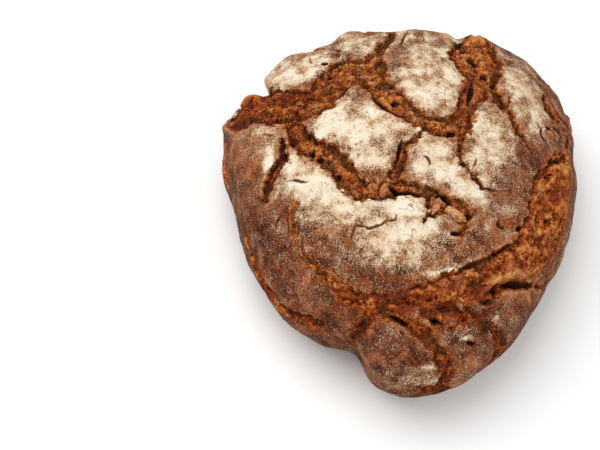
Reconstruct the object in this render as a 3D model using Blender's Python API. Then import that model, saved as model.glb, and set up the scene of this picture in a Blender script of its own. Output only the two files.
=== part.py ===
"""Round buckwheat and walnut loaf, uncut, standing on its flat base.

The loaf is a domed form whose crust has torn open while it baked.  Plates of
floured skin stand proud of rough torn crumb, a wide tear runs round under the
rim of the cap, and pieces of walnut sit in sockets in the torn crumb.

The origin is the middle of the footprint, on the surface the loaf stands on.
Lengths in the lists are millimetres; the objects are in metres, +Z up.
"""

import math

import bmesh
import bpy
import numpy as np
from mathutils import Vector, noise
from mathutils.bvhtree import BVHTree

MM = 0.001

# ---------------------------------------------------------------- the form
HEIGHT = 93.0            # table to the top of the dome
WAIST = 30.0             # height at which the loaf is widest
UNDERCUT = 12.0          # how far the lower curve would dip below the base
CURVE_POWER = 2.2        # 2 is an ellipse, more is squarer in the shoulder
PLAN_RADII = (107, 121, 133, 130, 122, 123, 122, 117,
              100, 98, 102, 105, 123, 116, 106, 103)    # from +X, anticlockwise
BASE_SHARE = 0.25        # how fine the mesh is on the base, next to the crust

# ------------------------------------------------- the sheet for the crust
# The pattern of the crust is laid out on a flat sheet in front of an eye that
# looks down at the loaf, and is cast from that eye onto the form.
SHEET_TILT = math.radians(60)
EYE_DISTANCE = 850.0
SHEET_ORIGIN = Vector((-1.2, -18.5, 42.0))
EYE_ACROSS = -58.8       # the eye stands this far to the side of the origin
SHEET_RIGHT = Vector((1.0, 0.0, 0.0))
SHEET_UP = Vector((0.0, math.sin(SHEET_TILT), math.cos(SHEET_TILT)))
EYE_AXIS = Vector((0.0, math.cos(SHEET_TILT), -math.sin(SHEET_TILT)))
EYE = SHEET_ORIGIN + EYE_ACROSS * SHEET_RIGHT - EYE_DISTANCE * EYE_AXIS
SHEET_MIDDLE = (0.0, 10.0)
LINE_STEP = 4.0          # spacing of the points along a tear's line
FINE_STEP = 2.0          # and along the lines of slits and strands
MOST_STRETCH = 2.2       # how much wider than on the sheet a tear may lie on the form

# Tears: how deep the step at the edge is, the share of it that is left at the
# lower edge, how softly the skin frays into the crumb (0 to 1), then
# (across, up, half width).  Where the share is small, the torn crumb comes out
# level with the skin below it, as it does all round the rim.
TEARS = (
    (2.6, 1.0, 0.5, ((-99, 62, 2), (-93, 68, 4.5), (-88, 71, 8), (-81, 71, 8.5), (-71, 71.5, 10.5),
                     (-58, 72.3, 9), (-50, 74.6, 9.4), (-43.5, 80.8, 10), (-38, 87.8, 10),
                     (-31, 92, 9), (-22, 93, 8.5), (-17, 94.5, 7.5), (-14, 101, 4.4),
                     (-10.5, 106, 2.6), (-7, 110, 2), (-4, 114, 1.6))),
    (2.8, 1.0, 0.45, ((-64, 60, 5.5), (-59, 52.5, 7.5), (-52.5, 46.5, 8), (-45, 43, 7.8),
                      (-39, 39, 8), (-34, 33, 8), (-28, 25.5, 8), (-20, 21, 6.8), (-12, 19.8, 6.2),
                      (-3, 21.5, 6), (6, 22.3, 5.2), (14, 20.8, 4.5), (21, 20, 3.5), (28, 17, 3),
                      (36, 13, 3), (42, 8, 3))),
    (2.8, 1.0, 0.25, ((-70, 52, 2), (-69, 43, 2.5), (-71, 36, 3), (-75, 29, 3.2), (-78, 22, 2.5),
                      (-79, 15, 1.5))),
    (2.4, 1.0, 0.5, ((-15, 87.5, 8), (-9.5, 78.8, 7.8), (-1, 71.5, 7.2), (8, 66.5, 5.4),
                     (16, 61.5, 5.5), (24, 59, 6.5), (31, 58, 6), (37, 63, 6), (41, 68, 4))),
    (2.8, 1.0, 0.45, ((45, 113, 6), (46, 107, 10), (46.7, 100, 12.4), (50, 90, 10), (48, 83, 8.8),
                      (42.3, 75, 6.8), (41, 69, 6.6), (39.5, 61, 5.6), (38, 52, 3.2),
                      (37, 45, 2.4), (38.5, 38, 2), (43.5, 32, 1.6), (51, 23, 1.2),
                      (57, 21, 0.8))),
    (2.0, 1.0, 0.4, ((56, 84, 3), (58.5, 79, 3.2), (61.5, 73, 2.9), (65.5, 68.5, 2.6),
                     (69, 62, 2.3), (71.5, 55, 1.9), (76, 51, 1.4), (79, 45, 0.8))),
    (1.6, 1.0, 0.4, ((67, 76, 0.8), (65.5, 70, 1.6))),
    (2.2, 1.0, 0.4, ((13.5, 62, 1.6), (14.5, 55, 1.6), (9, 51, 1.8), (4, 48.5, 2.6), (2, 43, 3.6),
                     (0, 36, 4.4), (-3, 30, 5))),
    (2.6, 1.0, 0.3, ((19, 19, 2.5), (18.5, 12, 1.6), (17, 5, 1), (15, 0, 0.7))),
    (2.6, 1.0, 0.3, ((25, 16, 4), (23, 10, 3.6), (21, 5, 2))),
    (2.6, 1.0, 0.3, ((31, 10, 3.6), (37, 6, 4.2), (40, 1, 3.4), (38, -5, 2.4))),
    (1.8, 1.0, 0.4, ((89, 79, 0.8), (88.5, 74, 1.2), (92, 68, 1.6), (96, 63, 1.6), (101, 57, 1.2),
                     (103, 51, 1), (102, 46, 1))),
    (1.8, 1.0, 0.5, ((63, 2, 1.6), (68, 1.5, 2.8), (73, 0.5, 2.4))),
    (3.4, 0.1, 0.5, ((101.5, 40, 3.5), (98, 35, 6), (95, 28, 8), (91, 20, 10), (89, 10, 10.4),
                     (87, 0, 10.8), (84, -9, 11), (78.5, -16, 11), (72, -21, 11))),
    (4.4, 0.1, 0.15, ((72, -21, 11), (64, -26, 11.5), (56, -30.5, 12), (45.5, -35, 12),
                      (36, -38, 11.5))),
    (2.8, 0.1, 0.7, ((36, -38, 11.5), (25, -41, 9.5), (15, -43.5, 8.5), (5.5, -46, 7.5),
                     (-4, -47.5, 7), (-14, -47.5, 7), (-24, -45, 6.8), (-34, -40, 6.2),
                     (-43, -32, 4.4), (-50.5, -25.5, 3), (-56, -18.5, 1.8), (-60, -10, 1.3),
                     (-63, 0, 1), (-62.5, 8, 0.8), (-60, 13, 0.6))),
    (2.6, 1.0, 0.8, ((16, -52, 4.5), (26, -56, 6.5), (36, -56, 6), (43, -52, 4))),
    (1.8, 1.0, 0.8, ((-10, -52, 3.5), (3, -58, 4.5), (13, -64, 5), (20, -71, 5), (25, -78, 4.5),
                     (28, -87, 4), (26, -95, 3.2), (24, -101, 2))),
    (1.6, 1.0, 0.7, ((40, -49, 3.5), (49, -57, 3), (57, -64, 3.2), (60.5, -72, 3.5),
                     (59, -79, 3.5), (57, -84, 2.5))),
    (4.0, 1.0, 0.4, ((56.5, -45, 2.2), (58.5, -39.5, 3.4), (64, -36.5, 3.8), (72, -35.5, 3.4),
                     (80, -36.5, 2.2))),
    (3.0, 1.0, 0.3, ((82, -37, 1.5), (88, -37, 2.4), (94, -36, 2))),
    (1.8, 1.0, 0.8, ((-18, -53, 4), (-20.5, -58, 4.4), (-23.5, -64, 4), (-27, -70, 3))),
    (1.6, 1.0, 0.7, ((12, -97, 1.6), (20, -98, 2.2))),
    (1.2, 1.0, 0.6, ((-40, 109, 1.5), (-37.5, 105.5, 1.8), (-35.5, 101, 1))),
)

# Tears out of the eye's reach, as above but (bearing in degrees, height, half width).
SIDE_TEARS = (
    (4.5, 0.1, 0.2, ((22, 44, 5), (34, 40, 8), (47, 43, 7), (60, 40, 8), (74, 45, 6),
                     (88, 41, 5), (100, 44, 2.5))),
    (2.6, 1.0, 0.5, ((66, 80, 5), (67, 72, 6), (64, 60, 4), (66, 50, 3))),
    (2.6, 1.0, 0.4, ((98, 61, 1.5), (101, 56, 3.5), (98, 50, 4), (104, 42, 1.5))),
    (2.4, 1.0, 0.4, ((114, 64, 1.5), (119, 58, 4), (116, 50, 2))),
    (4.0, 0.1, 0.3, ((122, 38, 2), (134, 34, 6), (148, 38, 7), (161, 33, 6), (172, 36, 2.5))),
    (3.2, 0.1, 0.6, ((198, 46, 1.5), (207, 40, 4), (218, 37, 6), (230, 40, 5),
                     (240, 47, 4))),
    (2.0, 1.0, 0.5, ((213, 32, 3), (216, 22, 2.5), (213, 12, 1.5))),
    (2.4, 1.0, 0.4, ((152, 74, 2.5), (158, 64, 4), (156, 54, 2.5))),
)

# Deep narrow slits: (across, up) points, half width, depth.
SLITS = (
    (((-9, 26), (-3, 22), (1, 20), (9, 20), (16, 18)), 1.2, 4.5),
    (((22, 17), (27, 18), (30, 15), (35, 12)), 1.6, 4.5),
    (((46, 90), (44.5, 84), (43, 77), (42, 71)), 1.3, 3.5),
    (((-15, 77), (-10, 71.5), (-5, 67.5), (0, 65.5), (5, 64.5)), 1.3, 3.0),
    (((36, 110.5), (41, 107.5), (45, 104)), 2.2, 4.5),
    (((70, -11), (64, -13.5), (58, -16)), 1.3, 2.6),
    (((50, -20), (44, -23), (39, -25.5)), 1.2, 2.4),
    (((93, 38.5), (97, 38), (101, 40)), 1.5, 3.5),
    (((21, -48), (27, -50), (33, -49.5), (39, -52.5)), 2.4, 3.6),
    (((19, -57), (23, -59), (27, -60)), 1.4, 2.5),
    (((48, -46), (53, -46.5), (57, -45)), 1.6, 3.0),
    (((58, -44.5), (58, -39), (60, -34.5)), 2.1, 4.2),
    (((61, -37), (69, -36.5), (78, -37.5)), 1.9, 3.4),
    (((83, -38), (89, -37)), 1.5, 3.0),
    (((-7, -54), (0, -57.5), (7, -61)), 1.2, 2.8),
    (((39, -69.5), (42, -70.5), (45, -70)), 1.1, 3.0),
    (((3, 53), (1, 48), (0, 43), (-1, 38)), 1.0, 2.2),
    (((31, -4), (34, -5.5), (38, -5)), 1.4, 3.6),
    (((61, 4.5), (60.5, 0), (64, -3)), 1.0, 2.4),
    (((70, -3.5), (74, -2), (77, 1.5)), 1.1, 2.6),
    (((89.5, 79), (97, 66.5), (102, 60), (104, 54)), 0.9, 1.8),
    (((-21, -63), (-24, -66)), 1.5, 3.0),
    (((88, 60.5), (87, 56), (88.5, 52), (91, 49.5)), 0.9, 2.2),
    (((90, 61), (95, 58), (99, 53), (97, 49)), 0.8, 1.8),
)

# Open pits in the crumb: across, up, radius, depth.
PITS = (
    (45.5, 100, 4.2, 7.5), (39.5, 107, 2.4, 4), (52, 89.5, 2.6, 4), (-2, 72.5, 3, 4),
    (42.5, 6, 2.4, 4), (-41, 90, 2.2, 3), (-44.5, 98, 2.2, 3), (-52, 44, 2.2, 3),
    (-47, 40, 2.2, 3), (-69, 42, 1.8, 3), (91.5, 29, 2.8, 4.5), (32, 55, 2.4, 3),
    (-88, 75, 2.4, 3), (-36, 29, 2.2, 3), (58, 85, 2, 3), (73.5, -2.5, 1.8, 2.6),
    (92.5, 56, 4.2, 2.6),
)

# Stretched strands that stand up in the tears: (across, up) points, half width, height.
STRANDS = (
    (((50, -42), (55, -35), (60, -31), (67, -29.5), (75, -30.5), (83, -33.5),
      (92, -34.5)), 2.5, 4.0),
    (((90, 40), (96, 42.5), (103, 43.5)), 1.8, 2.0),
    (((82, 12), (86, 22), (92, 30)), 1.8, 0.8),
    (((66, -14), (76, -14), (86, -16)), 2.0, 1.0),
    (((34, -28), (26, -34), (12, -38), (0, -42)), 2.6, 1.0),
    (((-84, 74), (-72, 70), (-60, 72)), 2.5, 1.0),
    (((47, 101), (53, 94), (55, 86)), 2.2, 1.4),
    (((38, -44), (46, -51), (54, -59), (58, -66)), 1.8, 1.4),
)

# Swellings and dents of the form: across, up, its reach across, up and away from
# the eye, height.
LOBES = (
    (-4, -80, 24, 18, 18, 5), (42, -78, 16, 16, 16, 4), (75, -50, 18, 16, 16, 4),
    (-22, 65, 30, 26, 26, 2), (20, 92, 22, 18, 18, 2), (-88, 77, 6, 6, 14, 3.5),
    (-68, 97, 16, 9, 9, 4), (48, 112, 9, 8, 14, 4), (14, 114, 14, 9, 9, 3),
    (-28, 114, 14, 9, 9, 3.5), (98, 5, 8, 26, 26, 2.5), (-90, 40, 18, 24, 24, 2),
    (0, 5, 50, 25, 25, 1.5), (64, 45, 16, 26, 26, 1.5), (-76, 94, 12, 12, 24, -2),
    (-85, 83, 5.5, 5, 40, -15), (-84, 89, 5, 4, 14, 3), (-40, 109, 5, 4, 14, -2.5),
    (37, 113, 5, 4.5, 24, -6), (86.5, 88.5, 9, 9, 24, -2.2), (107, 40, 6, 8, 20, -2.6),
    (94, -36, 5, 4, 12, -2), (-22, -62, 7, 14, 14, -2.5), (-31, -86, 11, 15, 24, -9),
    (-106, 60, 5, 4, 10, 3.5), (-107, 44, 8, 8, 20, -2.5),
)

# ------------------------------------------------------ relief of the crust
ROUNDING_SHARE = 0.34    # how far a plate rounds down at its edge, next to the step
ROUNDING_REACH = 6.0
SOFT_ROUNDING = 0.6      # less of it where the edge is soft
WALL_WIDTH = 1.8         # a crisp edge falls over this width, a soft one over more
SOFT_WALL_WIDTH = 4.0
CRUMB_RISE_SHARE = 0.55  # torn crumb swells up again in the middle of a tear
CRUMB_RISE_REACH = 7.0
SIDE_SPAN = 0.7          # share of the half width over which the two edges differ
EDGE_RAGS = 1.2          # how ragged the plates' edges are, and where they are soft
SOFT_RAGS = 2.2
RAG_SIZE = 4.2
JAG_MOST = 1.8           # the whole edge wanders by up to this, less on a narrow tear
JAG_SIZE = 11.0
CRUMB_RELIEF = 1.6       # height of the lumps in the crumb, and the size of the largest
CRUMB_SIZE = 9.0
STRAND_RELIEF = 1.0
STRAND_SIZE = (12.0, 2.6, 30.0)    # along the tear, across it, and in height
SKIN_RELIEF = 0.35
SKIN_SIZE = 9.0
UNEVEN = 1.8             # the whole loaf is uneven by this, and has dimples
UNEVEN_SIZE = 48.0
DIMPLES = 0.7
DIMPLE_SIZE = 15.0
WANDER = 0.9             # slits and strands stray from their lines by this
WANDER_SIZE = 5.0
FOOT_FADE = 8.0          # the relief fades out this close to the base

# -------------------------------------------------------------- the walnuts
# Name, across, up, length, width, height, turn on the sheet, depth of its middle.
WALNUTS = (
    ("walnut_1", 23.3, 12.2, 11.5, 5.0, 6.0, 66, 3.0),
    ("walnut_2", 35.0, 6.8, 14.0, 7.0, 7.0, -38, 3.0),
    ("walnut_3", 93.0, 55.5, 7.0, 5.0, 5.0, -35, 3.3),
    ("walnut_4", -15.4, 23.6, 6.5, 5.6, 5.0, 70, 2.7),
    ("walnut_5", -8.3, 21.8, 9.0, 5.0, 5.5, 75, 2.2),
    ("walnut_6", 67.0, 1.0, 11.5, 6.5, 5.5, 12, 1.5),
    ("walnut_7", 28.0, -35.0, 7.0, 6.0, 5.0, 5, 1.2),
    ("walnut_8", 37.0, -34.0, 8.5, 6.5, 5.5, 60, 1.6),
    ("walnut_9", 32.0, -58.0, 9.5, 6.0, 5.5, -20, 1.8),
    ("walnut_10", -103.5, 60.5, 7.0, 5.5, 5.0, 70, 1.5),
)
SOCKET_GAP = 0.45        # clearance between a walnut and its socket
WALNUT_LOBES = 0.16      # how lobed a piece is, and the lobes' size as a share of it
WALNUT_LOBE_SIZE = 0.9

FINE_LEVEL = 7           # subdivisions of the sphere that the loaf starts from
LOAF_SHARE = 0.1         # share of its triangles that the solid keeps
WALNUT_LEVEL = 3
WALNUT_SHARE = 0.5
FLAT_LIMIT = 0.15        # points this close to the table lie on it

CRUST_COLOUR = (0.17, 0.065, 0.036)
CRUST_ROUGHNESS = 0.85
KERNEL_COLOUR = (0.48, 0.24, 0.09)
KERNEL_ROUGHNESS = 0.6
COLLECTION = "buckwheat_walnut_bread"


# ------------------------------------------------------------------ helpers
def smooth_step(low, high, value):
    """0 below low, 1 above high, with an even ramp between."""
    ramp = np.clip((value - low) / (high - low), 0.0, 1.0)
    return ramp * ramp * (3.0 - 2.0 * ramp)


def spline(values, places):
    """Catmull-Rom curve through the rows of values at fractional places."""
    values = np.asarray(values, dtype=float)
    index = np.floor(places).astype(int)
    t = (places - index)[:, None]
    count = len(values)
    before, here, after, beyond = (
        values[np.clip(index + shift, 0, count - 1)] for shift in (-1, 0, 1, 2))
    return 0.5 * (2 * here + (after - before) * t
                  + (2 * before - 5 * here + 4 * after - beyond) * t ** 2
                  + (3 * here - before - 3 * after + beyond) * t ** 3)


def fractal(points, size, octaves, seed):
    """Noise of about -1 to 1 whose largest lumps measure size."""
    shift = Vector((17.3 * seed, -9.1 * seed, 5.7 * seed))
    return np.array([noise.fractal(Vector(p) / size + shift, 0.9, 2.0, octaves)
                     for p in points])


# --------------------------------------------------------------- base form
def plan_radius(bearing):
    """Radius of the widest outline at each bearing."""
    count = len(PLAN_RADII)
    closed = [[r] for r in PLAN_RADII[-2:] + PLAN_RADII + PLAN_RADII[:3]]
    return spline(closed, bearing / (2 * math.pi) % 1.0 * count + 2)[:, 0]


def profile(angle):
    """Share of the radius, and the height, from the top (0) to the base (pi)."""
    reach = np.abs(np.sin(angle)) ** (2 / CURVE_POWER)
    rise = np.abs(np.cos(angle)) ** (2 / CURVE_POWER)
    height = np.where(angle < math.pi / 2, WAIST + (HEIGHT - WAIST) * rise,
                      WAIST - (WAIST + UNDERCUT) * rise)
    return reach, np.maximum(height, 0.0)


def form_points(directions):
    """The smooth form, one point for each direction of a unit sphere.

    Directions are spread over the profile by area, so that the triangles of
    the sphere stay even on the crust and are larger on the flat base.
    """
    table = np.linspace(0.0, math.pi, 600)
    reach, height = profile(table)
    run = np.hypot(np.diff(reach) * np.mean(PLAN_RADII), np.diff(height))
    share = np.where(height[1:] > 0.0, 1.0, BASE_SHARE)
    area = np.concatenate(([0.0], np.cumsum(run * reach[1:] * share)))
    angle = np.interp((1.0 - directions[:, 2]) / 2, area / area[-1], table)
    reach, height = profile(angle)
    bearing = np.arctan2(directions[:, 1], directions[:, 0])
    radius = plan_radius(bearing) * reach
    return np.column_stack((radius * np.cos(bearing), radius * np.sin(bearing), height))


def sphere_mesh(level):
    """A unit icosphere as a bmesh."""
    ball = bmesh.new()
    bmesh.ops.create_icosphere(ball, subdivisions=level, radius=1.0)
    return ball


def mesh_points(mesh):
    return np.array([v.co for v in mesh.verts])


def set_points(mesh, points):
    for vert, point in zip(mesh.verts, points):
        vert.co = point
    mesh.normal_update()


# ------------------------------------------------------- casting the sheet
def cast_from_eye(form, across, up):
    """Point of the form, and its normal, behind a place on the sheet."""
    place = Vector((across, up))
    middle = Vector(SHEET_MIDDLE)
    while True:
        spot = SHEET_ORIGIN + place.x * SHEET_RIGHT + place.y * SHEET_UP
        hit, normal, _, _ = form.ray_cast(EYE, (spot - EYE).normalized())
        if hit is not None:
            return hit, normal
        place += (middle - place).normalized()


def cast_from_side(form, bearing, height):
    """Point of the form at a bearing and height."""
    outward = Vector((math.cos(math.radians(bearing)), math.sin(math.radians(bearing)), 0.0))
    start = outward * 2 * max(PLAN_RADII) + Vector((0.0, 0.0, height))
    hit, normal, _, _ = form.ray_cast(start, -outward)
    return hit, normal


def curve_through(points, step):
    """Rows along a smooth curve through the points, about step apart."""
    points = np.array(points, dtype=float)
    length = np.hypot(*np.diff(points[:, :2], axis=0).T).sum()
    count = max(2, int(length / step) + 1)
    return spline(points, np.linspace(0.0, len(points) - 1, count))


def cast_side_line(form, points):
    """A line of (x, y, z, half width) on the form through (bearing, height) points."""
    return np.array([[*cast_from_side(form, *row[:2])[0], row[2]]
                     for row in curve_through(points, LINE_STEP)])


def cast_band(form, points):
    """A line on the form whose width, as the eye sees it, is the width on the sheet."""
    curve = curve_through(points, LINE_STEP)
    ways = np.gradient(curve[:, :2], axis=0)
    ways /= np.linalg.norm(ways, axis=1)[:, None]
    rows = []
    for (across, up, half), (way_across, way_up) in zip(curve, ways):
        one = cast_from_eye(form, across - half * way_up, up + half * way_across)[0]
        other = cast_from_eye(form, across + half * way_up, up - half * way_across)[0]
        wide = min((one - other).length / 2, MOST_STRETCH * half)
        rows.append([*((one + other) / 2), wide])
    return np.array(rows)


def cast_winding(form, points, half, seed):
    """A winding line on the form, tapered towards its ends."""
    taper = (0.25,) + (1.0,) * (len(points) - 2) + (0.25,)
    rows = [(*point, half * share) for point, share in zip(points, taper)]
    line = np.array([[*cast_from_eye(form, *row[:2])[0], row[2]]
                     for row in curve_through(rows, FINE_STEP)])
    for axis in range(3):
        line[:, axis] += WANDER * fractal(line[:, :3], WANDER_SIZE, 2, seed + axis)
    return line


def distance_to_line(points, line):
    """Distance of each point to the line, and there: the half width, the rise
    above the line, and how far along the line it is."""
    best = np.full(len(points), 1e9)
    width = np.zeros(len(points))
    rise = np.zeros(len(points))
    run = np.zeros(len(points))
    passed = 0.0
    for start, end in zip(line[:-1], line[1:]):
        way = end[:3] - start[:3]
        length = np.linalg.norm(way)
        t = np.clip((points - start[:3]) @ way / max(length ** 2, 1e-9), 0.0, 1.0)
        away = points - start[:3] - t[:, None] * way
        gap = np.linalg.norm(away, axis=1)
        half = start[3] + t * (end[3] - start[3])
        nearer = gap - half < best - width
        best = np.where(nearer, gap, best)
        width = np.where(nearer, half, width)
        rise = np.where(nearer, away[:, 2], rise)
        run = np.where(nearer, passed + t * length, run)
        passed += length
    return best, width, rise, run


# ------------------------------------------------------------------ relief
def tear_field(points, form):
    """Signed distance to the nearest tear, below zero inside, with its step and
    softness, how far the place belongs to a tear of the rim, and where it lies
    along and across that tear."""
    tears = [(step, share, soft, cast_band(form, line)) for step, share, soft, line in TEARS]
    tears += [(step, share, soft, cast_side_line(form, line))
              for step, share, soft, line in SIDE_TEARS]
    jag = fractal(points, JAG_SIZE, 3, 1)
    edges = []
    steps = []
    softness = []
    runs = []
    sides = []
    for step, share, soft, line in tears:
        gap, width, rise, run = distance_to_line(points, line)
        edges.append(gap - width + jag * np.minimum(JAG_MOST, 0.4 * width + 0.2))
        upper = smooth_step(-SIDE_SPAN, SIDE_SPAN, rise / width)
        steps.append(step * (share + (1.0 - share) * upper))
        softness.append(soft + (1.0 - soft) * (1.0 - upper) * (share < 1.0))
        runs.append(run)
        sides.append(gap * np.sign(rise))
    edges = np.array(edges)
    edge = edges.min(axis=0)
    weight = np.exp(-(edges - edge) / 2.0)
    weight /= weight.sum(axis=0)
    rim = np.array([share < 1.0 for _, share, _, _ in tears])[:, None]
    nearest = np.where(rim, edges, np.inf).argmin(axis=0)
    each = np.arange(len(points))
    return (edge, (weight * steps).sum(axis=0), (weight * softness).sum(axis=0),
            (weight * rim).sum(axis=0), np.array(runs)[nearest, each],
            np.array(sides)[nearest, each])


def relief(points, form):
    """How far the crust stands out from the smooth form, in millimetres."""
    edge, step, soft, rim, run, side = tear_field(points, form)
    edge += (EDGE_RAGS + (SOFT_RAGS - EDGE_RAGS) * soft) * fractal(points, RAG_SIZE, 3, 6)
    wall = WALL_WIDTH + (SOFT_WALL_WIDTH - WALL_WIDTH) * soft
    torn = smooth_step(0.0, 1.0, -edge / wall)
    swell = CRUMB_RISE_SHARE * smooth_step(WALL_WIDTH, CRUMB_RISE_REACH, -edge)
    out = UNEVEN * fractal(points, UNEVEN_SIZE, 2, 2) + DIMPLES * fractal(points, DIMPLE_SIZE, 2, 9)
    rounding = ROUNDING_SHARE * (1.0 - SOFT_ROUNDING * soft)
    out -= rounding * step * np.exp(-np.maximum(edge, 0.0) / ROUNDING_REACH)
    out -= torn * step * (1.0 - swell)
    out += torn * CRUMB_RELIEF * fractal(points, CRUMB_SIZE, 3, 3)
    out += (1.0 - torn) * SKIN_RELIEF * fractal(points, SKIN_SIZE, 2, 4)
    drawn = np.column_stack((run, side, points[:, 2])) / np.array(STRAND_SIZE)
    out += torn * rim * STRAND_RELIEF * fractal(drawn, 1.0, 2, 5)

    for seed, (line, half, depth) in enumerate(SLITS):
        gap, width, _, _ = distance_to_line(points, cast_winding(form, line, half, 50 + 3 * seed))
        out -= depth * width / half * (1.0 - smooth_step(0.2 * width, 1.9 * width, gap))
    for seed, (line, half, height) in enumerate(STRANDS):
        gap, width, _, _ = distance_to_line(points, cast_winding(form, line, half, 110 + 3 * seed))
        out += height * torn * (1.0 - smooth_step(0.0, 1.8, gap / width))
    for across, up, radius, depth in PITS:
        middle = np.array(cast_from_eye(form, across, up)[0])
        gap = np.linalg.norm(points - middle, axis=1)
        out -= depth * (1.0 - smooth_step(0.2 * radius, 1.4 * radius, gap))
    for across, up, reach_across, reach_up, reach_behind, height in LOBES:
        middle = np.array(cast_from_eye(form, across, up)[0])
        away = points - middle
        beside = away @ np.array(SHEET_RIGHT) / reach_across
        above = away @ np.array(SHEET_UP) / reach_up
        behind = away @ np.array(EYE_AXIS) / reach_behind
        out += height * np.exp(-(beside ** 2 + above ** 2 + behind ** 2))
    return out


def loaf_mesh(level):
    """The loaf with its torn crust as a bmesh, in millimetres."""
    loaf = sphere_mesh(level)
    set_points(loaf, form_points(mesh_points(loaf)))
    form = BVHTree.FromBMesh(loaf)
    points = mesh_points(loaf)
    normals = np.array([v.normal for v in loaf.verts])
    fade = smooth_step(0.0, FOOT_FADE, points[:, 2])
    points += normals * (relief(points, form) * fade)[:, None]
    points[points[:, 2] < FLAT_LIMIT, 2] = 0.0
    set_points(loaf, points)
    return loaf, form


# ----------------------------------------------------------------- walnuts
def walnut_mesh(form, across, up, length, width, height, turn, depth, swell, seed):
    """A lobed piece of kernel, lying in the crust, larger by swell all round."""
    spot, normal = cast_from_eye(form, across, up)
    lean = math.radians(turn)
    along = math.cos(lean) * SHEET_RIGHT + math.sin(lean) * SHEET_UP
    along = (along - along.dot(normal) * normal).normalized()
    aside = normal.cross(along)
    middle = spot - depth * normal
    nut = sphere_mesh(WALNUT_LEVEL)
    points = mesh_points(nut)
    lobes = 1.0 + WALNUT_LOBES * fractal(points, WALNUT_LOBE_SIZE, 2, 20 + seed)
    size = np.array((length, width, height)) / 2 * lobes[:, None] + swell
    local = points * size
    axes = np.array((along, aside, normal))
    set_points(nut, local @ axes + np.array(middle))
    return nut


# --------------------------------------------------------------- the build
def make_material(name, colour, roughness):
    material = bpy.data.materials.new(name)
    material.use_nodes = True
    shader = material.node_tree.nodes["Principled BSDF"]
    shader.inputs["Base Color"].default_value = (*colour, 1.0)
    shader.inputs["Roughness"].default_value = roughness
    shader.inputs["Metallic"].default_value = 0.0
    return material


def make_object(name, mesh, collection, material=None):
    """An object in metres from a bmesh in millimetres."""
    bmesh.ops.scale(mesh, vec=(MM, MM, MM), verts=mesh.verts)
    bmesh.ops.recalc_face_normals(mesh, faces=mesh.faces)
    data = bpy.data.meshes.new(name)
    mesh.to_mesh(data)
    mesh.free()
    data.shade_smooth()
    if material:
        data.materials.append(material)
    thing = bpy.data.objects.new(name, data)
    collection.objects.link(thing)
    return thing


def simplify(thing, share):
    """Collapse the mesh to a share of its triangles, with a level base."""
    reduce = thing.modifiers.new("reduce", "DECIMATE")
    reduce.ratio = share
    reduce.use_collapse_triangulate = True
    bpy.context.view_layer.update()
    coarse = bpy.data.meshes.new_from_object(
        thing.evaluated_get(bpy.context.evaluated_depsgraph_get()))
    thing.modifiers.remove(reduce)
    for vert in coarse.vertices:
        if vert.co.z < FLAT_LIMIT * MM:
            vert.co.z = 0.0
    thing.data = coarse


def build():
    for old in list(bpy.data.objects):
        bpy.data.objects.remove(old, do_unlink=True)
    scene = bpy.context.scene
    bread = bpy.data.collections.new(COLLECTION)
    sockets = bpy.data.collections.new("sockets")
    scene.collection.children.link(bread)
    scene.collection.children.link(sockets)
    crust = make_material("crust", CRUST_COLOUR, CRUST_ROUGHNESS)
    kernel = make_material("kernel", KERNEL_COLOUR, KERNEL_ROUGHNESS)

    loaf, form = loaf_mesh(FINE_LEVEL)
    loaf = make_object("loaf", loaf, bread, crust)
    simplify(loaf, LOAF_SHARE)

    for seed, (name, *place) in enumerate(WALNUTS):
        nut = make_object(name, walnut_mesh(form, *place, 0.0, seed), bread, kernel)
        simplify(nut, WALNUT_SHARE)
        cutter = make_object(f"socket_{seed + 1}",
                             walnut_mesh(form, *place, SOCKET_GAP, seed), sockets)
        simplify(cutter, WALNUT_SHARE)
        cutter.hide_render = True
        cutter.display_type = "WIRE"
    cut = loaf.modifiers.new("sockets", "BOOLEAN")
    cut.operation = "DIFFERENCE"
    cut.operand_type = "COLLECTION"
    cut.collection = sockets


build()
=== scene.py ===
# Looks of a round buckwheat and walnut loaf: torn crust, floured plates, pieces of kernel.
# Lengths in the dictionaries are millimetres; the finished pieces are in metres, +Z up.

import math

import bmesh
import bpy
import numpy as np
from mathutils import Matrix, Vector, noise
from mathutils.bvhtree import BVHTree


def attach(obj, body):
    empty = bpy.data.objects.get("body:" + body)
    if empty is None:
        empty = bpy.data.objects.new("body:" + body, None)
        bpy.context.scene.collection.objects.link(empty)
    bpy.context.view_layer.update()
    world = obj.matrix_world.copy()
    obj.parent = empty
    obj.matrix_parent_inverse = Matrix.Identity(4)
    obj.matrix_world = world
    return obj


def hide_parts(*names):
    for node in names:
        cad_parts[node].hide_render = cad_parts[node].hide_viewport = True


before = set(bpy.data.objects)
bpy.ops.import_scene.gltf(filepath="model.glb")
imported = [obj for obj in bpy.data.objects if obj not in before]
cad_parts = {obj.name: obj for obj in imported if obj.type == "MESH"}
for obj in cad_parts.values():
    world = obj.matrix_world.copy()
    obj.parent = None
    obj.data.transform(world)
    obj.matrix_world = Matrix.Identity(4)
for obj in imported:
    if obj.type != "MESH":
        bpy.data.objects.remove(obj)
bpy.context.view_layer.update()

mm = 0.001

view = {
    "tilt": 60.0,                     # degrees that it looks down
    "distance": 850.0,
    "aim": (-60.0, -18.5, 42.0),      # the point in the middle of the picture
    "lens": 85.0,
    "sensor": 36.0,
    "nearest": 10.0,                  # nothing closer than this is drawn
}
viewTilt = math.radians(view["tilt"])
viewAxis = Vector((0.0, math.cos(viewTilt), -math.sin(viewTilt)))
sheetRight = Vector((1.0, 0.0, 0.0))
sheetUp = Vector((0.0, math.sin(viewTilt), math.cos(viewTilt)))
eye = Vector(view["aim"]) - view["distance"] * viewAxis


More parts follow.
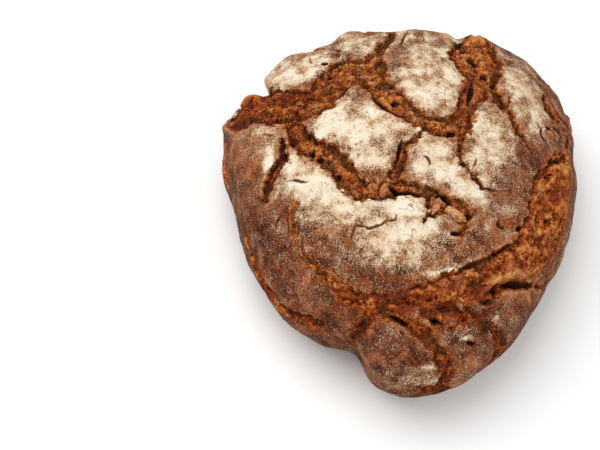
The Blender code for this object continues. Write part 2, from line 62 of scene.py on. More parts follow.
def makeCamera():
    lens = bpy.data.cameras.new("camera")
    lens.lens = view["lens"]
    lens.sensor_width = view["sensor"]
    lens.clip_start = view["nearest"] * mm
    camera = bpy.data.objects.new("camera", lens)
    camera.location = eye * mm
    camera.rotation_euler = (math.pi / 2 - viewTilt, 0.0, 0.0)
    bpy.context.scene.collection.objects.link(camera)
    bpy.context.scene.camera = camera


makeCamera()
print("camera: placed")

pattern = {
    "fade": 0.9,                       # how fast the finer octaves lose height
    "finer": 2.0,                      # each octave is this much finer than the last
    "lumpsApart": (17.3, -9.1, 5.7),   # how far each seed moves the lumps
    "poresApart": (3.7, 11.9, -7.3),
}
tiny = 1e-9                            # keeps a division from going wrong


def smoothStep(low, high, value):
    ramp = np.clip((value - low) / (high - low), 0.0, 1.0)
    return ramp * ramp * (3.0 - 2.0 * ramp)


def splineThrough(values, places):
    # Catmull-Rom curve through the rows of values at fractional places
    values = np.asarray(values, dtype=float)
    index = np.floor(places).astype(int)
    t = (places - index)[:, None]
    last = len(values) - 1
    before, here, after, beyond = (
        values[np.clip(index + shift, 0, last)] for shift in (-1, 0, 1, 2))
    return 0.5 * (2 * here + (after - before) * t
                  + (2 * before - 5 * here + 4 * after - beyond) * t ** 2
                  + (3 * here - before - 3 * after + beyond) * t ** 3)


def lumps(points, size, octaves, seed):
    # noise of about -1 to 1 whose largest lumps measure size
    shift = Vector([seed * apart for apart in pattern["lumpsApart"]])
    return np.array([noise.fractal(Vector(p) / size + shift, pattern["fade"],
                                   pattern["finer"], octaves) for p in points])


def bumps(points, height, size, octaves, seed):
    return height * lumps(points, size, octaves, seed)


def pores(points, size, seed):
    # distance to the nearest of scattered seeds, in units of size
    shift = Vector([seed * apart for apart in pattern["poresApart"]])
    return np.array([noise.voronoi(Vector(p) / size + shift)[0][0] for p in points])


def meshPoints(mesh):
    return np.array([v.co for v in mesh.verts])


def setPoints(mesh, points):
    for vert, point in zip(mesh.verts, points):
        vert.co = point
    mesh.normal_update()


def sphereMesh(level):
    ball = bmesh.new()
    bmesh.ops.create_icosphere(ball, subdivisions=level, radius=1.0)
    return ball


# The loaf's form, the same as the solid's.
form = {
    "height": 93.0,          # table to the top of the dome
    "waist": 30.0,           # height at which it is widest
    "undercut": 12.0,        # how far the lower curve would dip below the base
    "curvePower": 2.2,       # 2 is an ellipse, more is squarer in the shoulder
    "planRadii": (107, 121, 133, 130, 122, 123, 122, 117,
                  100, 98, 102, 105, 123, 116, 106, 103),    # from +X, anticlockwise
    "baseShare": 0.12,       # how fine the mesh is on the base, next to the crust
    "profileRows": 600,      # how finely the profile's area is summed
    "level": 8,              # subdivisions of the sphere it starts from
    "triangles": 190000,
    "flatLimit": 0.15,       # what is lower than this is flat on the table
}


def planRadius(bearing):
    radii = form["planRadii"]
    before = 2               # radii repeated at the start, to close the curve
    closed = [[r] for r in radii[-before:] + radii + radii[:before + 1]]
    return splineThrough(closed, bearing / (2 * math.pi) % 1.0 * len(radii) + before)[:, 0]


def profile(angle):
    # share of the radius, and the height, from the top (0) to the base (pi)
    reach = np.abs(np.sin(angle)) ** (2 / form["curvePower"])
    rise = np.abs(np.cos(angle)) ** (2 / form["curvePower"])
    waist = form["waist"]
    height = np.where(angle < math.pi / 2, waist + (form["height"] - waist) * rise,
                      waist - (waist + form["undercut"]) * rise)
    return reach, np.maximum(height, 0.0)


def formPoints(directions):
    # directions are spread over the profile by area, so that the triangles stay even
    table = np.linspace(0.0, math.pi, form["profileRows"])
    reach, height = profile(table)
    run = np.hypot(np.diff(reach) * np.mean(form["planRadii"]), np.diff(height))
    share = np.where(height[1:] > 0.0, 1.0, form["baseShare"])
    area = np.concatenate(([0.0], np.cumsum(run * reach[1:] * share)))
    angle = np.interp((1.0 - directions[:, 2]) / 2, area / area[-1], table)
    reach, height = profile(angle)
    bearing = np.arctan2(directions[:, 1], directions[:, 0])
    radius = planRadius(bearing) * reach
    return np.column_stack((radius * np.cos(bearing), radius * np.sin(bearing), height))


# The crust's pattern is laid out on a flat sheet in front of the eye, as (across, up), and
# cast onto the form.
sheet = {
    "origin": Vector((-1.2, -18.5, 42.0)),
    "middle": Vector((0.0, 10.0)),       # a point that misses the form moves towards this
    "lineStep": 4.0,                     # spacing of the points along a cast line
    "finerStep": 2.0,                    # and along a slit, a strand or a crack
    "farAway": 27.0,                     # a tear has no effect beyond this
    "mostStretch": 2.2,                  # how much wider than on the sheet a tear may lie
}


def castFromEye(shape, across, up):
    place = Vector((across, up))
    while True:
        spot = sheet["origin"] + place.x * sheetRight + place.y * sheetUp
        hit, normal, _, _ = shape.ray_cast(eye, (spot - eye).normalized())
        if hit is not None:
            return hit, normal
        place += (sheet["middle"] - place).normalized()


def castFromSide(shape, bearing, height):
    outward = Vector((math.cos(math.radians(bearing)), math.sin(math.radians(bearing)), 0.0))
    start = outward * 2 * max(form["planRadii"]) + Vector((0.0, 0.0, height))
    hit, normal, _, _ = shape.ray_cast(start, -outward)
    return hit, normal


def curveThrough(points, step):
    # rows along a smooth curve through the points, about step apart
    points = np.array(points, dtype=float)
    length = np.hypot(*np.diff(points[:, :2], axis=0).T).sum()
    count = max(2, int(length / step) + 1)
    return splineThrough(points, np.linspace(0.0, len(points) - 1, count))


def castLine(shape, cast, points, step):
    # a line of (x, y, z, half width) on the form
    return np.array([[*cast(shape, *row[:2])[0], *row[2:]]
                     for row in curveThrough(points, step)])


def castBand(shape, points):
    # a line on the form whose width, as the eye sees it, is the width on the sheet
    curve = curveThrough(points, sheet["lineStep"])
    ways = np.gradient(curve[:, :2], axis=0)
    ways /= np.linalg.norm(ways, axis=1)[:, None]
    rows = []
    for (across, up, half), (wayAcross, wayUp) in zip(curve, ways):
        one = castFromEye(shape, across - half * wayUp, up + half * wayAcross)[0]
        other = castFromEye(shape, across + half * wayUp, up - half * wayAcross)[0]
        wide = min((one - other).length / 2, sheet["mostStretch"] * half)
        rows.append([*((one + other) / 2), wide])
    return np.array(rows)


def nearLine(points, line, reach):
    low = line[:, :3].min(axis=0) - reach
    high = line[:, :3].max(axis=0) + reach
    return np.flatnonzero(((points > low) & (points < high)).all(axis=1))


def distanceToLine(points, line):
    # distance of each point to the line, and there: the half width, the rise
    # above the line, and how far along the line it is
    best = np.full(len(points), np.inf)
    width, rise, run = np.zeros((3, len(points)))
    passed = 0.0
    for start, end in zip(line[:-1], line[1:]):
        way = end[:3] - start[:3]
        length = np.linalg.norm(way)
        t = np.clip((points - start[:3]) @ way / max(length ** 2, tiny), 0.0, 1.0)
        away = points - start[:3] - t[:, None] * way
        gap = np.linalg.norm(away, axis=1)
        half = start[3] + t * (end[3] - start[3])
        nearer = gap - half < best - width
        best = np.where(nearer, gap, best)
        width = np.where(nearer, half, width)
        rise = np.where(nearer, away[:, 2], rise)
        run = np.where(nearer, passed + t * length, run)
        passed += length
    return best, width, rise, run


tears = {
    # depth of the step at the edge, the share of it left at the lower edge, how
    # softly the skin frays into the crumb (0 to 1), then (across, up, half width)
    "seen": (
        (2.6, 1.0, 0.5, ((-99, 62, 2), (-93, 68, 4.5), (-88, 71, 8), (-81, 71, 8.5),
                         (-71, 71.5, 10.5), (-58, 72.3, 9), (-50, 74.6, 9.4), (-43.5, 80.8, 10),
                         (-38, 87.8, 10), (-31, 92, 9), (-22, 93, 8.5), (-17, 94.5, 7.5),
                         (-14, 101, 4.4), (-10.5, 106, 2.6), (-7, 110, 2), (-4, 114, 1.6))),
        (2.8, 1.0, 0.45, ((-64, 60, 5.5), (-59, 52.5, 7.5), (-52.5, 46.5, 8), (-45, 43, 7.8),
                          (-39, 39, 8), (-34, 33, 8), (-28, 25.5, 8), (-20, 21, 6.8),
                          (-12, 19.8, 6.2), (-3, 21.5, 6), (6, 22.3, 5.2), (14, 20.8, 4.5),
                          (21, 20, 3.5), (28, 17, 3), (36, 13, 3), (42, 8, 3))),
        (2.8, 1.0, 0.25, ((-70, 52, 2), (-69, 43, 2.5), (-71, 36, 3), (-75, 29, 3.2),
                          (-78, 22, 2.5), (-79, 15, 1.5))),
        (2.4, 1.0, 0.5, ((-15, 87.5, 8), (-9.5, 78.8, 7.8), (-1, 71.5, 7.2), (8, 66.5, 5.4),
                         (16, 61.5, 5.5), (24, 59, 6.5), (31, 58, 6), (37, 63, 6), (41, 68, 4))),
        (2.8, 1.0, 0.45, ((45, 113, 6), (46, 107, 10), (46.7, 100, 12.4), (50, 90, 10),
                          (48, 83, 8.8), (42.3, 75, 6.8), (41, 69, 6.6), (39.5, 61, 5.6),
                          (38, 52, 3.2), (37, 45, 2.4), (38.5, 38, 2), (43.5, 32, 1.6),
                          (51, 23, 1.2), (57, 21, 0.8))),
        (2.0, 1.0, 0.4, ((56, 84, 3), (58.5, 79, 3.2), (61.5, 73, 2.9), (65.5, 68.5, 2.6),
                         (69, 62, 2.3), (71.5, 55, 1.9), (76, 51, 1.4), (79, 45, 0.8))),
        (1.6, 1.0, 0.4, ((67, 76, 0.8), (65.5, 70, 1.6))),
        (2.2, 1.0, 0.4, ((13.5, 62, 1.6), (14.5, 55, 1.6), (9, 51, 1.8), (4, 48.5, 2.6),
                         (2, 43, 3.6), (0, 36, 4.4), (-3, 30, 5))),
        (2.6, 1.0, 0.3, ((19, 19, 2.5), (18.5, 12, 1.6), (17, 5, 1), (15, 0, 0.7))),
        (2.6, 1.0, 0.3, ((25, 16, 4), (23, 10, 3.6), (21, 5, 2))),
        (2.6, 1.0, 0.3, ((31, 10, 3.6), (37, 6, 4.2), (40, 1, 3.4), (38, -5, 2.4))),
        (1.8, 1.0, 0.4, ((89, 79, 0.8), (88.5, 74, 1.2), (92, 68, 1.6), (96, 63, 1.6),
                         (101, 57, 1.2), (103, 51, 1), (102, 46, 1))),
        (1.8, 1.0, 0.5, ((63, 2, 1.6), (68, 1.5, 2.8), (73, 0.5, 2.4))),
        (3.4, 0.1, 0.5, ((101.5, 40, 3.5), (98, 35, 6), (95, 28, 8), (91, 20, 10), (89, 10, 10.4),
                         (87, 0, 10.8), (84, -9, 11), (78.5, -16, 11), (72, -21, 11))),
        (4.4, 0.1, 0.15, ((72, -21, 11), (64, -26, 11.5), (56, -30.5, 12), (45.5, -35, 12),
                          (36, -38, 11.5))),
        (2.8, 0.1, 0.7, ((36, -38, 11.5), (25, -41, 9.5), (15, -43.5, 8.5), (5.5, -46, 7.5),
                         (-4, -47.5, 7), (-14, -47.5, 7), (-24, -45, 6.8), (-34, -40, 6.2),
                         (-43, -32, 4.4), (-50.5, -25.5, 3), (-56, -18.5, 1.8), (-60, -10, 1.3),
                         (-63, 0, 1), (-62.5, 8, 0.8), (-60, 13, 0.6))),
        (2.6, 1.0, 0.8, ((16, -52, 4.5), (26, -56, 6.5), (36, -56, 6), (43, -52, 4))),
        (1.8, 1.0, 0.8, ((-10, -52, 3.5), (3, -58, 4.5), (13, -64, 5), (20, -71, 5),
                         (25, -78, 4.5), (28, -87, 4), (26, -95, 3.2), (24, -101, 2))),
        (1.6, 1.0, 0.7, ((40, -49, 3.5), (49, -57, 3), (57, -64, 3.2), (60.5, -72, 3.5),
                         (59, -79, 3.5), (57, -84, 2.5))),
        (4.0, 1.0, 0.4, ((56.5, -45, 2.2), (58.5, -39.5, 3.4), (64, -36.5, 3.8), (72, -35.5, 3.4),
                         (80, -36.5, 2.2))),
        (3.0, 1.0, 0.3, ((82, -37, 1.5), (88, -37, 2.4), (94, -36, 2))),
        (1.8, 1.0, 0.8, ((-18, -53, 4), (-20.5, -58, 4.4), (-23.5, -64, 4), (-27, -70, 3))),
        (1.6, 1.0, 0.7, ((12, -97, 1.6), (20, -98, 2.2))),
        (1.2, 1.0, 0.6, ((-40, 109, 1.5), (-37.5, 105.5, 1.8), (-35.5, 101, 1))),
    ),
    # out of the eye's reach: (bearing in degrees, height, half width)
    "hidden": (
        (4.5, 0.1, 0.2, ((22, 44, 5), (34, 40, 8), (47, 43, 7), (60, 40, 8), (74, 45, 6),
                         (88, 41, 5), (100, 44, 2.5))),
        (2.6, 1.0, 0.5, ((66, 80, 5), (67, 72, 6), (64, 60, 4), (66, 50, 3))),
        (2.6, 1.0, 0.4, ((98, 61, 1.5), (101, 56, 3.5), (98, 50, 4), (104, 42, 1.5))),
        (2.4, 1.0, 0.4, ((114, 64, 1.5), (119, 58, 4), (116, 50, 2))),
        (4.0, 0.1, 0.3, ((122, 38, 2), (134, 34, 6), (148, 38, 7), (161, 33, 6), (172, 36, 2.5))),
        (3.2, 0.1, 0.6, ((198, 46, 1.5), (207, 40, 4), (218, 37, 6), (230, 40, 5),
                         (240, 47, 4))),
        (2.0, 1.0, 0.5, ((213, 32, 3), (216, 22, 2.5), (213, 12, 1.5))),
        (2.4, 1.0, 0.4, ((152, 74, 2.5), (158, 64, 4), (156, 54, 2.5))),
    ),
}

slits = (                    # deep and narrow: (across, up) points, half width, depth
    (((-9, 26), (-3, 22), (1, 20), (9, 20), (16, 18)), 1.2, 4.5),
    (((22, 17), (27, 18), (30, 15), (35, 12)), 1.6, 4.5),
    (((46, 90), (44.5, 84), (43, 77), (42, 71)), 1.3, 3.5),
    (((-15, 77), (-10, 71.5), (-5, 67.5), (0, 65.5), (5, 64.5)), 1.3, 3.0),
    (((36, 110.5), (41, 107.5), (45, 104)), 2.2, 4.5),
    (((70, -11), (64, -13.5), (58, -16)), 1.3, 2.6),
    (((50, -20), (44, -23), (39, -25.5)), 1.2, 2.4),
    (((93, 38.5), (97, 38), (101, 40)), 1.5, 3.5),
    (((21, -48), (27, -50), (33, -49.5), (39, -52.5)), 2.4, 3.6),
    (((19, -57), (23, -59), (27, -60)), 1.4, 2.5),
    (((48, -46), (53, -46.5), (57, -45)), 1.6, 3.0),
    (((58, -44.5), (58, -39), (60, -34.5)), 2.1, 4.2),
    (((61, -37), (69, -36.5), (78, -37.5)), 1.9, 3.4),
    (((83, -38), (89, -37)), 1.5, 3.0),
    (((-7, -54), (0, -57.5), (7, -61)), 1.2, 2.8),
    (((39, -69.5), (42, -70.5), (45, -70)), 1.1, 3.0),
    (((3, 53), (1, 48), (0, 43), (-1, 38)), 1.0, 2.2),
    (((31, -4), (34, -5.5), (38, -5)), 1.4, 3.6),
    (((61, 4.5), (60.5, 0), (64, -3)), 1.0, 2.4),
    (((70, -3.5), (74, -2), (77, 1.5)), 1.1, 2.6),
    (((89.5, 79), (97, 66.5), (102, 60), (104, 54)), 0.9, 1.8),
    (((-21, -63), (-24, -66)), 1.5, 3.0),
    (((88, 60.5), (87, 56), (88.5, 52), (91, 49.5)), 0.9, 2.2),
    (((90, 61), (95, 58), (99, 53), (97, 49)), 0.8, 1.8),
)

pits = (                     # open holes in the crumb: across, up, radius, depth
    (45.5, 100, 4.2, 7.5), (39.5, 107, 2.4, 4), (52, 89.5, 2.6, 4), (-2, 72.5, 3, 4),
    (42.5, 6, 2.4, 4), (-41, 90, 2.2, 3), (-44.5, 98, 2.2, 3), (-52, 44, 2.2, 3),
    (-47, 40, 2.2, 3), (-69, 42, 1.8, 3), (91.5, 29, 2.8, 4.5), (32, 55, 2.4, 3),
    (-88, 75, 2.4, 3), (-36, 29, 2.2, 3), (58, 85, 2, 3), (73.5, -2.5, 1.8, 2.6),
    (92.5, 56, 4.2, 2.6),
)

strands = (                  # stretched dough standing in the tears: points, half width, height
    (((50, -42), (55, -35), (60, -31), (67, -29.5), (75, -30.5), (83, -33.5),
      (92, -34.5)), 2.5, 4.0),
    (((90, 40), (96, 42.5), (103, 43.5)), 1.8, 2.0),
    (((82, 12), (86, 22), (92, 30)), 1.8, 0.8),
    (((66, -14), (76, -14), (86, -16)), 2.0, 1.0),
    (((34, -28), (26, -34), (12, -38), (0, -42)), 2.6, 1.0),
    (((-84, 74), (-72, 70), (-60, 72)), 2.5, 1.0),
    (((47, 101), (53, 94), (55, 86)), 2.2, 1.4),
    (((38, -44), (46, -51), (54, -59), (58, -66)), 1.8, 1.4),
)

lobes = (                    # swellings, dents: across, up, reach across, up and back, height
    (-4, -80, 24, 18, 18, 5), (42, -78, 16, 16, 16, 4), (75, -50, 18, 16, 16, 4),
    (-22, 65, 30, 26, 26, 2), (20, 92, 22, 18, 18, 2), (-88, 77, 6, 6, 14, 3.5),
    (-68, 97, 16, 9, 9, 4), (48, 112, 9, 8, 14, 4), (14, 114, 14, 9, 9, 3),
    (-28, 114, 14, 9, 9, 3.5), (98, 5, 8, 26, 26, 2.5), (-90, 40, 18, 24, 24, 2),
    (0, 5, 50, 25, 25, 1.5), (64, 45, 16, 26, 26, 1.5), (-76, 94, 12, 12, 24, -2),
    (-85, 83, 5.5, 5, 40, -15), (-84, 89, 5, 4, 14, 3), (-40, 109, 5, 4, 14, -2.5),
    (37, 113, 5, 4.5, 24, -6), (86.5, 88.5, 9, 9, 24, -2.2), (107, 40, 6, 8, 20, -2.6),
    (94, -36, 5, 4, 12, -2), (-22, -62, 7, 14, 14, -2.5), (-31, -86, 11, 15, 24, -9),
    (-106, 60, 5, 4, 10, 3.5), (-107, 44, 8, 8, 20, -2.5),
)

cracks = (                   # hairlines in the skin: (across, up) points
    ((0, 7), (-2, 3), (-6, 2.5), (-10, 0), (-15, -2), (-18, -3), (-20, -1.5), (-25, -1),
     (-26, -4), (-28, -8), (-31, -10)),
    ((-19, -11), (-22, -15), (-24, -18)),
    ((-11, -14), (-14, -19)),
    ((-60, 14), (-62, 10)),
    ((-73, 12), (-70, 14)),
    ((-66, 26), (-62, 27), (-57, 25), (-50, 27)),
    ((-84, 55), (-78, 54), (-72, 54)),
    ((-53, 102), (-53, 99), (-50, 96.5)),
    ((-40, 106), (-35, 106), (-34, 103)),
    ((0, 104), (2, 108), (4, 112), (10, 114)),
    ((83, 65), (85, 60), (87, 57)),
    ((88, 60), (92, 58)),
    ((91, 53), (91, 49)),
    ((95, 60), (98, 52)),
    ((13, 42), (17, 41), (19, 37), (17, 34)),
    ((46, 43), (46, 36), (44, 31)),
    ((-3, 15), (-2, 9)),
    ((52, 23), (58, 21), (65, 20)),
    ((-69, 12), (-70, 6), (-73, 0), (-72, -6)),
    ((-64, 11), (-66, 4), (-65, -3), (-68, -10)),
    ((-54, -2), (-57, -9), (-56, -16)),
    ((-46, -10), (-50, -17)),
    ((-88, 22), (-86, 14), (-89, 6)),
    ((-76, -8), (-72, -17), (-73, -25)),
)

# The flour that lies on the crust, laid out on the same sheet.
flour = {
    # across, up, reach across, reach up, amount; the largest amount counts
    "patches": (
        (-74, 93, 30, 16, 0.6), (-66, 90, 14, 10, 0.82), (-84, 85, 8, 5, 0.7),
        (-52, 99, 14, 7, 0.8), (-50, 92, 8, 6, 0.85), (-10, 56, 8, 8, 0.75),
        (47, 40, 7, 10, 0.7), (4, -14, 12, 7, 0.7), (-26, 108, 24, 12, 0.55),
        (-30, 109, 14, 5, 0.6), (13, 98, 34, 26, 0.55), (20, 79, 15, 11, 0.8),
        (28, 103, 6, 7, 0.75), (31, 88, 7, 14, 0.7), (8, 84, 8, 6, 0.7),
        (-38, 58, 26, 20, 0.6), (-42, 62, 15, 12, 0.95), (-27, 56, 13, 10, 0.85),
        (-21, 42, 11, 9, 0.75), (-14, 67, 12, 9, 0.7), (-47, 55, 10, 9, 0.8),
        (8, 58, 12, 5, 0.5), (17, 44, 17, 18, 0.5), (30, 32, 10, 9, 0.95),
        (22, 42, 12, 10, 0.6), (15, 34, 6, 8, 0.5), (44, 22, 14, 8, 0.85),
        (36, 26, 8, 6, 0.8), (56, 50, 15, 22, 0.55), (50, 58, 8, 12, 0.7),
        (58, 40, 10, 10, 0.5), (76, 84, 16, 26, 0.5), (70, 84, 7, 13, 0.75),
        (84, 66, 8, 14, 0.6), (-52, 24, 16, 11, 0.9), (-64, 36, 6, 10, 0.85),
        (-40, 18, 14, 9, 0.8), (-62, 22, 9, 8, 0.6), (-30, 10, 16, 10, 0.62),
        (-12, 14, 16, 7, 0.85), (4, 11, 13, 9, 0.95), (8, -4, 20, 10, 0.9),
        (-10, -10, 20, 14, 0.67), (25, -10, 13, 9, 0.58), (20, 3, 9, 8, 0.6),
        (48, 3, 20, 14, 0.2), (-6, -22, 18, 8, 0.42), (-45, 4, 14, 10, 0.5),
        (-77, 38, 3.4, 10, 1.1), (-80, 46, 6, 6, 0.6), (-84, 57, 14, 4, 0.5),
        (-98, 66, 5, 7, 0.75), (-96, 56, 8, 10, 0.3), (20, -29.5, 5, 1.4, 0.8),
        (26, -28.5, 4, 1.4, 1.0), (31.5, -27, 4, 1.4, 1.4), (37, -24.5, 4, 1.4, 1.0),
        (43, -21, 4, 1.4, 0.9), (48, -18.5, 4, 1.4, 0.7), (26, -92, 34, 6, 0.5),
        (-4, -86, 14, 5, 0.3), (16, -84, 9, 2.5, 0.55), (20, -91, 9, 2.5, 0.45),
        (30, -66, 10, 6, 0.15), (38, -72, 8, 4, 0.2), (66, -62, 7, 13, 0.2),
        (36, -90, 10, 8, 0.4), (60.5, -56, 5, 4, 0.5), (55, -65, 1.8, 4, 0.8),
        (40.5, -67, 3, 1.3, 1.2), (98, -16, 5, 22, 0.32), (-50, -6, 10, 12, 0.22),
    ),
    # where little of it is left: across, up, reach across, reach up, share taken away
    "bare": (
        (78, 42, 9, 12, 0.5), (66, 28, 10, 8, 0.4), (-47, -8, 14, 10, 0.5),
        (44, -14, 30, 9, 0.6), (46, 1, 12, 8, 0.5), (-1, 99, 8, 11, 0.65),
        (-53, 63, 6, 6, 0.5), (22, 99, 8, 6, 0.35), (-4, -38, 26, 8, 0.8),
        (-84, 40, 5, 8, 0.4), (92, 84, 8, 20, 0.35), (-30, -20, 20, 10, 0.4),
        (-20, -70, 18, 14, 0.6), (66, -50, 9, 7, 0.7), (-18, -35, 17, 8, 0.85),
        (62, -46, 13, 8, 0.5),
    ),
    "deep": 2.0,                     # patches reach this much further away from the eye
    "topHeights": (52.0, 86.0),      # the dusting grows between these heights
    "topAmount": 0.22,
    "sideAmount": 0.045,             # a few flecks on the rest of the skin
    # the side turned away from the camera, where the dusting starts behind these depths
    # and above these heights
    "backDepths": (42.0, 90.0),
    "backHeights": (25.0, 70.0),
    "backAmount": 0.33,
    "backBumps": (0.275, 30.0, 2, 15),
    "most": 1.2,
}

# Relief of the crust. A bump goes by its height, the size of its largest lumps, the octaves
# and the seed, and noise that isn't a bump by the last three. A pair is where something
# starts and where it is whole.
relief = {
    "uneven": (1.8, 48.0, 2, 2),
    "dimples": (0.7, 15.0, 2, 9),
    "skinLumps": (0.35, 9.0, 2, 4),
    "skinGrit": (0.16, 2.2, 2, 8),
    # a tear's edge strays by the jag, but by no more than a share of its half width,
    # and is frayed by the rags
    "jag": (11.0, 3, 1),
    "jagMost": 1.8,
    "jagShare": 0.4,
    "jagLeast": 0.2,
    "rags": (4.2, 3, 6),
    "crispRags": 1.2,
    "softRags": 2.2,
    "ragReach": 7.0,
    "sideSpan": 0.7,         # share of the half width over which the two edges differ
    "merging": 2.0,          # tears that meet are blended over this
    "roundingShare": 0.34,   # how far a plate rounds down at its edge, next to the step
    "roundingReach": 6.0,
    "softRounding": 0.6,     # less of it where the edge is soft
    "wallWidth": 1.2,        # a crisp edge falls over this width, a soft one over more
    "softWallWidth": 4.0,
    "swellShare": 0.55,      # torn crumb swells up again in the middle of a tear
    "swell": (1.8, 7.0),
    # torn crumb: the lumps are lower where it isn't rough
    "crumbWaves": (1.8, 9.0, 2, 3),
    "crumbLumps": (1.2, 3.6, 2, 13),
    "crumbGrit": (0.8, 2.2, 2, 7),
    "roughPlaces": (22.0, 2, 18),
    "rough": (-0.5, 0.4),
    "evenLumps": 0.3,
    "poreSize": 3.6,
    "poreSeed": 3,
    "poreWall": (0.12, 0.42),
    "poreDepth": 1.9,
    "porePlaces": (8.0, 2, 12),
    "porous": (0.0, 0.3),
    # the strands that it is drawn out into along the rim
    "drawnBumps": (1.6, 1.0, 3, 5),
    "drawnBend": (5.0, 16.0, 2, 19),
    "drawnAlong": 11.0,
    "drawnAcross": 4.2,
    "drawnUp": 25.0,
    # walls go by the share of the half width or of the radius
    "slitWall": (0.2, 1.9),
    "strandWall": (0.0, 1.8),
    "fullCrest": 3.0,        # a strand this high is a crest in full
    "pitWall": (0.2, 1.4),
    "pitReach": 3.0,
    "pitRags": (0.7, 3.0, 2, 17),
    "crackHalf": 1.5,
    "crackFar": 9.0,
    "crackDepth": 0.8,
    "crackWidth": 0.9,
    "crackLip": (0.2, 1.8, 0.9),     # the skin beside a crack stands up: height, place, width
    "wander": (0.9, 5.0, 2),         # slits, strands and cracks stray from their lines
    "narrowEnd": 0.25,               # and are this narrow at their ends
    "lineReach": 4.0,                # they are felt over this share of their half widths
    "lineMargin": 2.0,               # and this much more
    "overhang": (0.6, 0.2, 1.1),     # a crisp edge leans out over its tear: by, place, width
    # cavity and hollow: how much lower a place lies than its surroundings; the materials paint
    # shade with them into low places and light onto crests
    "cavityRounds": 9,       # rounds of smoothing that a place is compared with
    "hollowRounds": 70,
    "crestLimit": 0.9,       # crests higher than this get no paler
    "footFade": 8.0,         # the relief fades out this close to the base
}
firstSeeds = {"slits": 50, "strands": 110, "cracks": 140}    # a line takes one for each axis


def tearField(points, shape):
    # distance to the nearest tear, below zero inside it, with the step and the softness
    # there, how far the place belongs to a tear of the rim, and where it lies along
    # and across that tear
    lines = [(step, share, soft, castBand(shape, line))
             for step, share, soft, line in tears["seen"]]
    lines += [(step, share, soft, castLine(shape, castFromSide, line, sheet["lineStep"]))
              for step, share, soft, line in tears["hidden"]]
    jag = lumps(points, *relief["jag"])
    span = relief["sideSpan"]
    found = []
    edge, rimEdge = np.full((2, len(points)), sheet["farAway"])
    runAlong, runAcross = np.zeros((2, len(points)))
    for step, share, soft, line in lines:
        near = nearLine(points, line, sheet["farAway"])
        gap, width, rise, run = distanceToLine(points[near], line)
        stray = np.minimum(relief["jagMost"], relief["jagShare"] * width + relief["jagLeast"])
        own = gap - width + jag[near] * stray
        upper = smoothStep(-span, span, rise / width)
        ofRim = share < 1.0
        ownSoft = soft + (1.0 - soft) * (1.0 - upper) * ofRim
        found.append((near, own, step * (share + (1.0 - share) * upper), ownSoft, ofRim))
        edge[near] = np.minimum(edge[near], own)
        if ofRim:
            nearer = own < rimEdge[near]
            rimEdge[near] = np.where(nearer, own, rimEdge[near])
            runAlong[near] = np.where(nearer, run, runAlong[near])
            runAcross[near] = np.where(nearer, gap * np.sign(rise), runAcross[near])
    total = np.full(len(points), tiny)
    steps, softness, rim = np.zeros((3, len(points)))
    for near, own, ownStep, ownSoft, ofRim in found:
        weight = np.exp(-np.maximum(own - edge[near], 0.0) / relief["merging"])
        total[near] += weight
        steps[near] += weight * ownStep
        softness[near] += weight * ownSoft
        rim[near] += weight * ofRim
    return edge, steps / total, softness / total, rim / total, runAlong, runAcross


def alongEach(points, shape, rows, firstSeed):
    # for each row of a line on the sheet, its half width and its height: the points near
    # the line, which is made to wind, their distance to it, the half width there, which
    # tapers to the line's ends, and the row's own half width and height
    end = relief["narrowEnd"]
    for number, (line, half, height) in enumerate(rows):
        ends = (end,) + (1.0,) * (len(line) - 2) + (end,)
        route = castLine(shape, castFromEye, [(*p, half * e) for p, e in zip(line, ends)],
                         sheet["finerStep"])
        for axis in range(3):
            seed = firstSeed + 3 * number + axis
            route[:, axis] += bumps(route[:, :3], *relief["wander"], seed)
        near = nearLine(points, route, relief["lineReach"] * half + relief["lineMargin"])
        gap, width = distanceToLine(points[near], route)[:2]
        yield near, gap, width, half, height


def spread(points, shape, across, up, reachAcross, reachUp, reachBack):
    # a soft spot on the form behind a place on the sheet
    away = points - np.array(castFromEye(shape, across, up)[0])
    side = away @ np.array(sheetRight) / reachAcross
    above = away @ np.array(sheetUp) / reachUp
    behind = away @ np.array(viewAxis) / reachBack
    return np.exp(-(side ** 2 + above ** 2 + behind ** 2))


def crumbRelief(points, rim, runAlong, runAcross):
    # torn crumb: waves, lumps and grit, drawn out along the tears of the rim
    even = relief["evenLumps"]
    rough = smoothStep(*relief["rough"], lumps(points, *relief["roughPlaces"]))
    out = bumps(points, *relief["crumbWaves"]) + bumps(points, *relief["crumbGrit"])
    out += (even + (1.0 - even) * rough) * bumps(points, *relief["crumbLumps"])
    bend = bumps(points, *relief["drawnBend"])
    drawn = np.column_stack((runAlong / relief["drawnAlong"],
                             (runAcross + bend) / relief["drawnAcross"],
                             points[:, 2] / relief["drawnUp"]))
    out += rim * rough * bumps(drawn, *relief["drawnBumps"])
    holes = pores(points, relief["poreSize"], relief["poreSeed"])
    holes = 1.0 - smoothStep(*relief["poreWall"], holes)
    porous = smoothStep(*relief["porous"], lumps(points, *relief["porePlaces"]))
    return out - relief["poreDepth"] * holes * porous


def between(first, second, share):
    return first + (second - first) * share


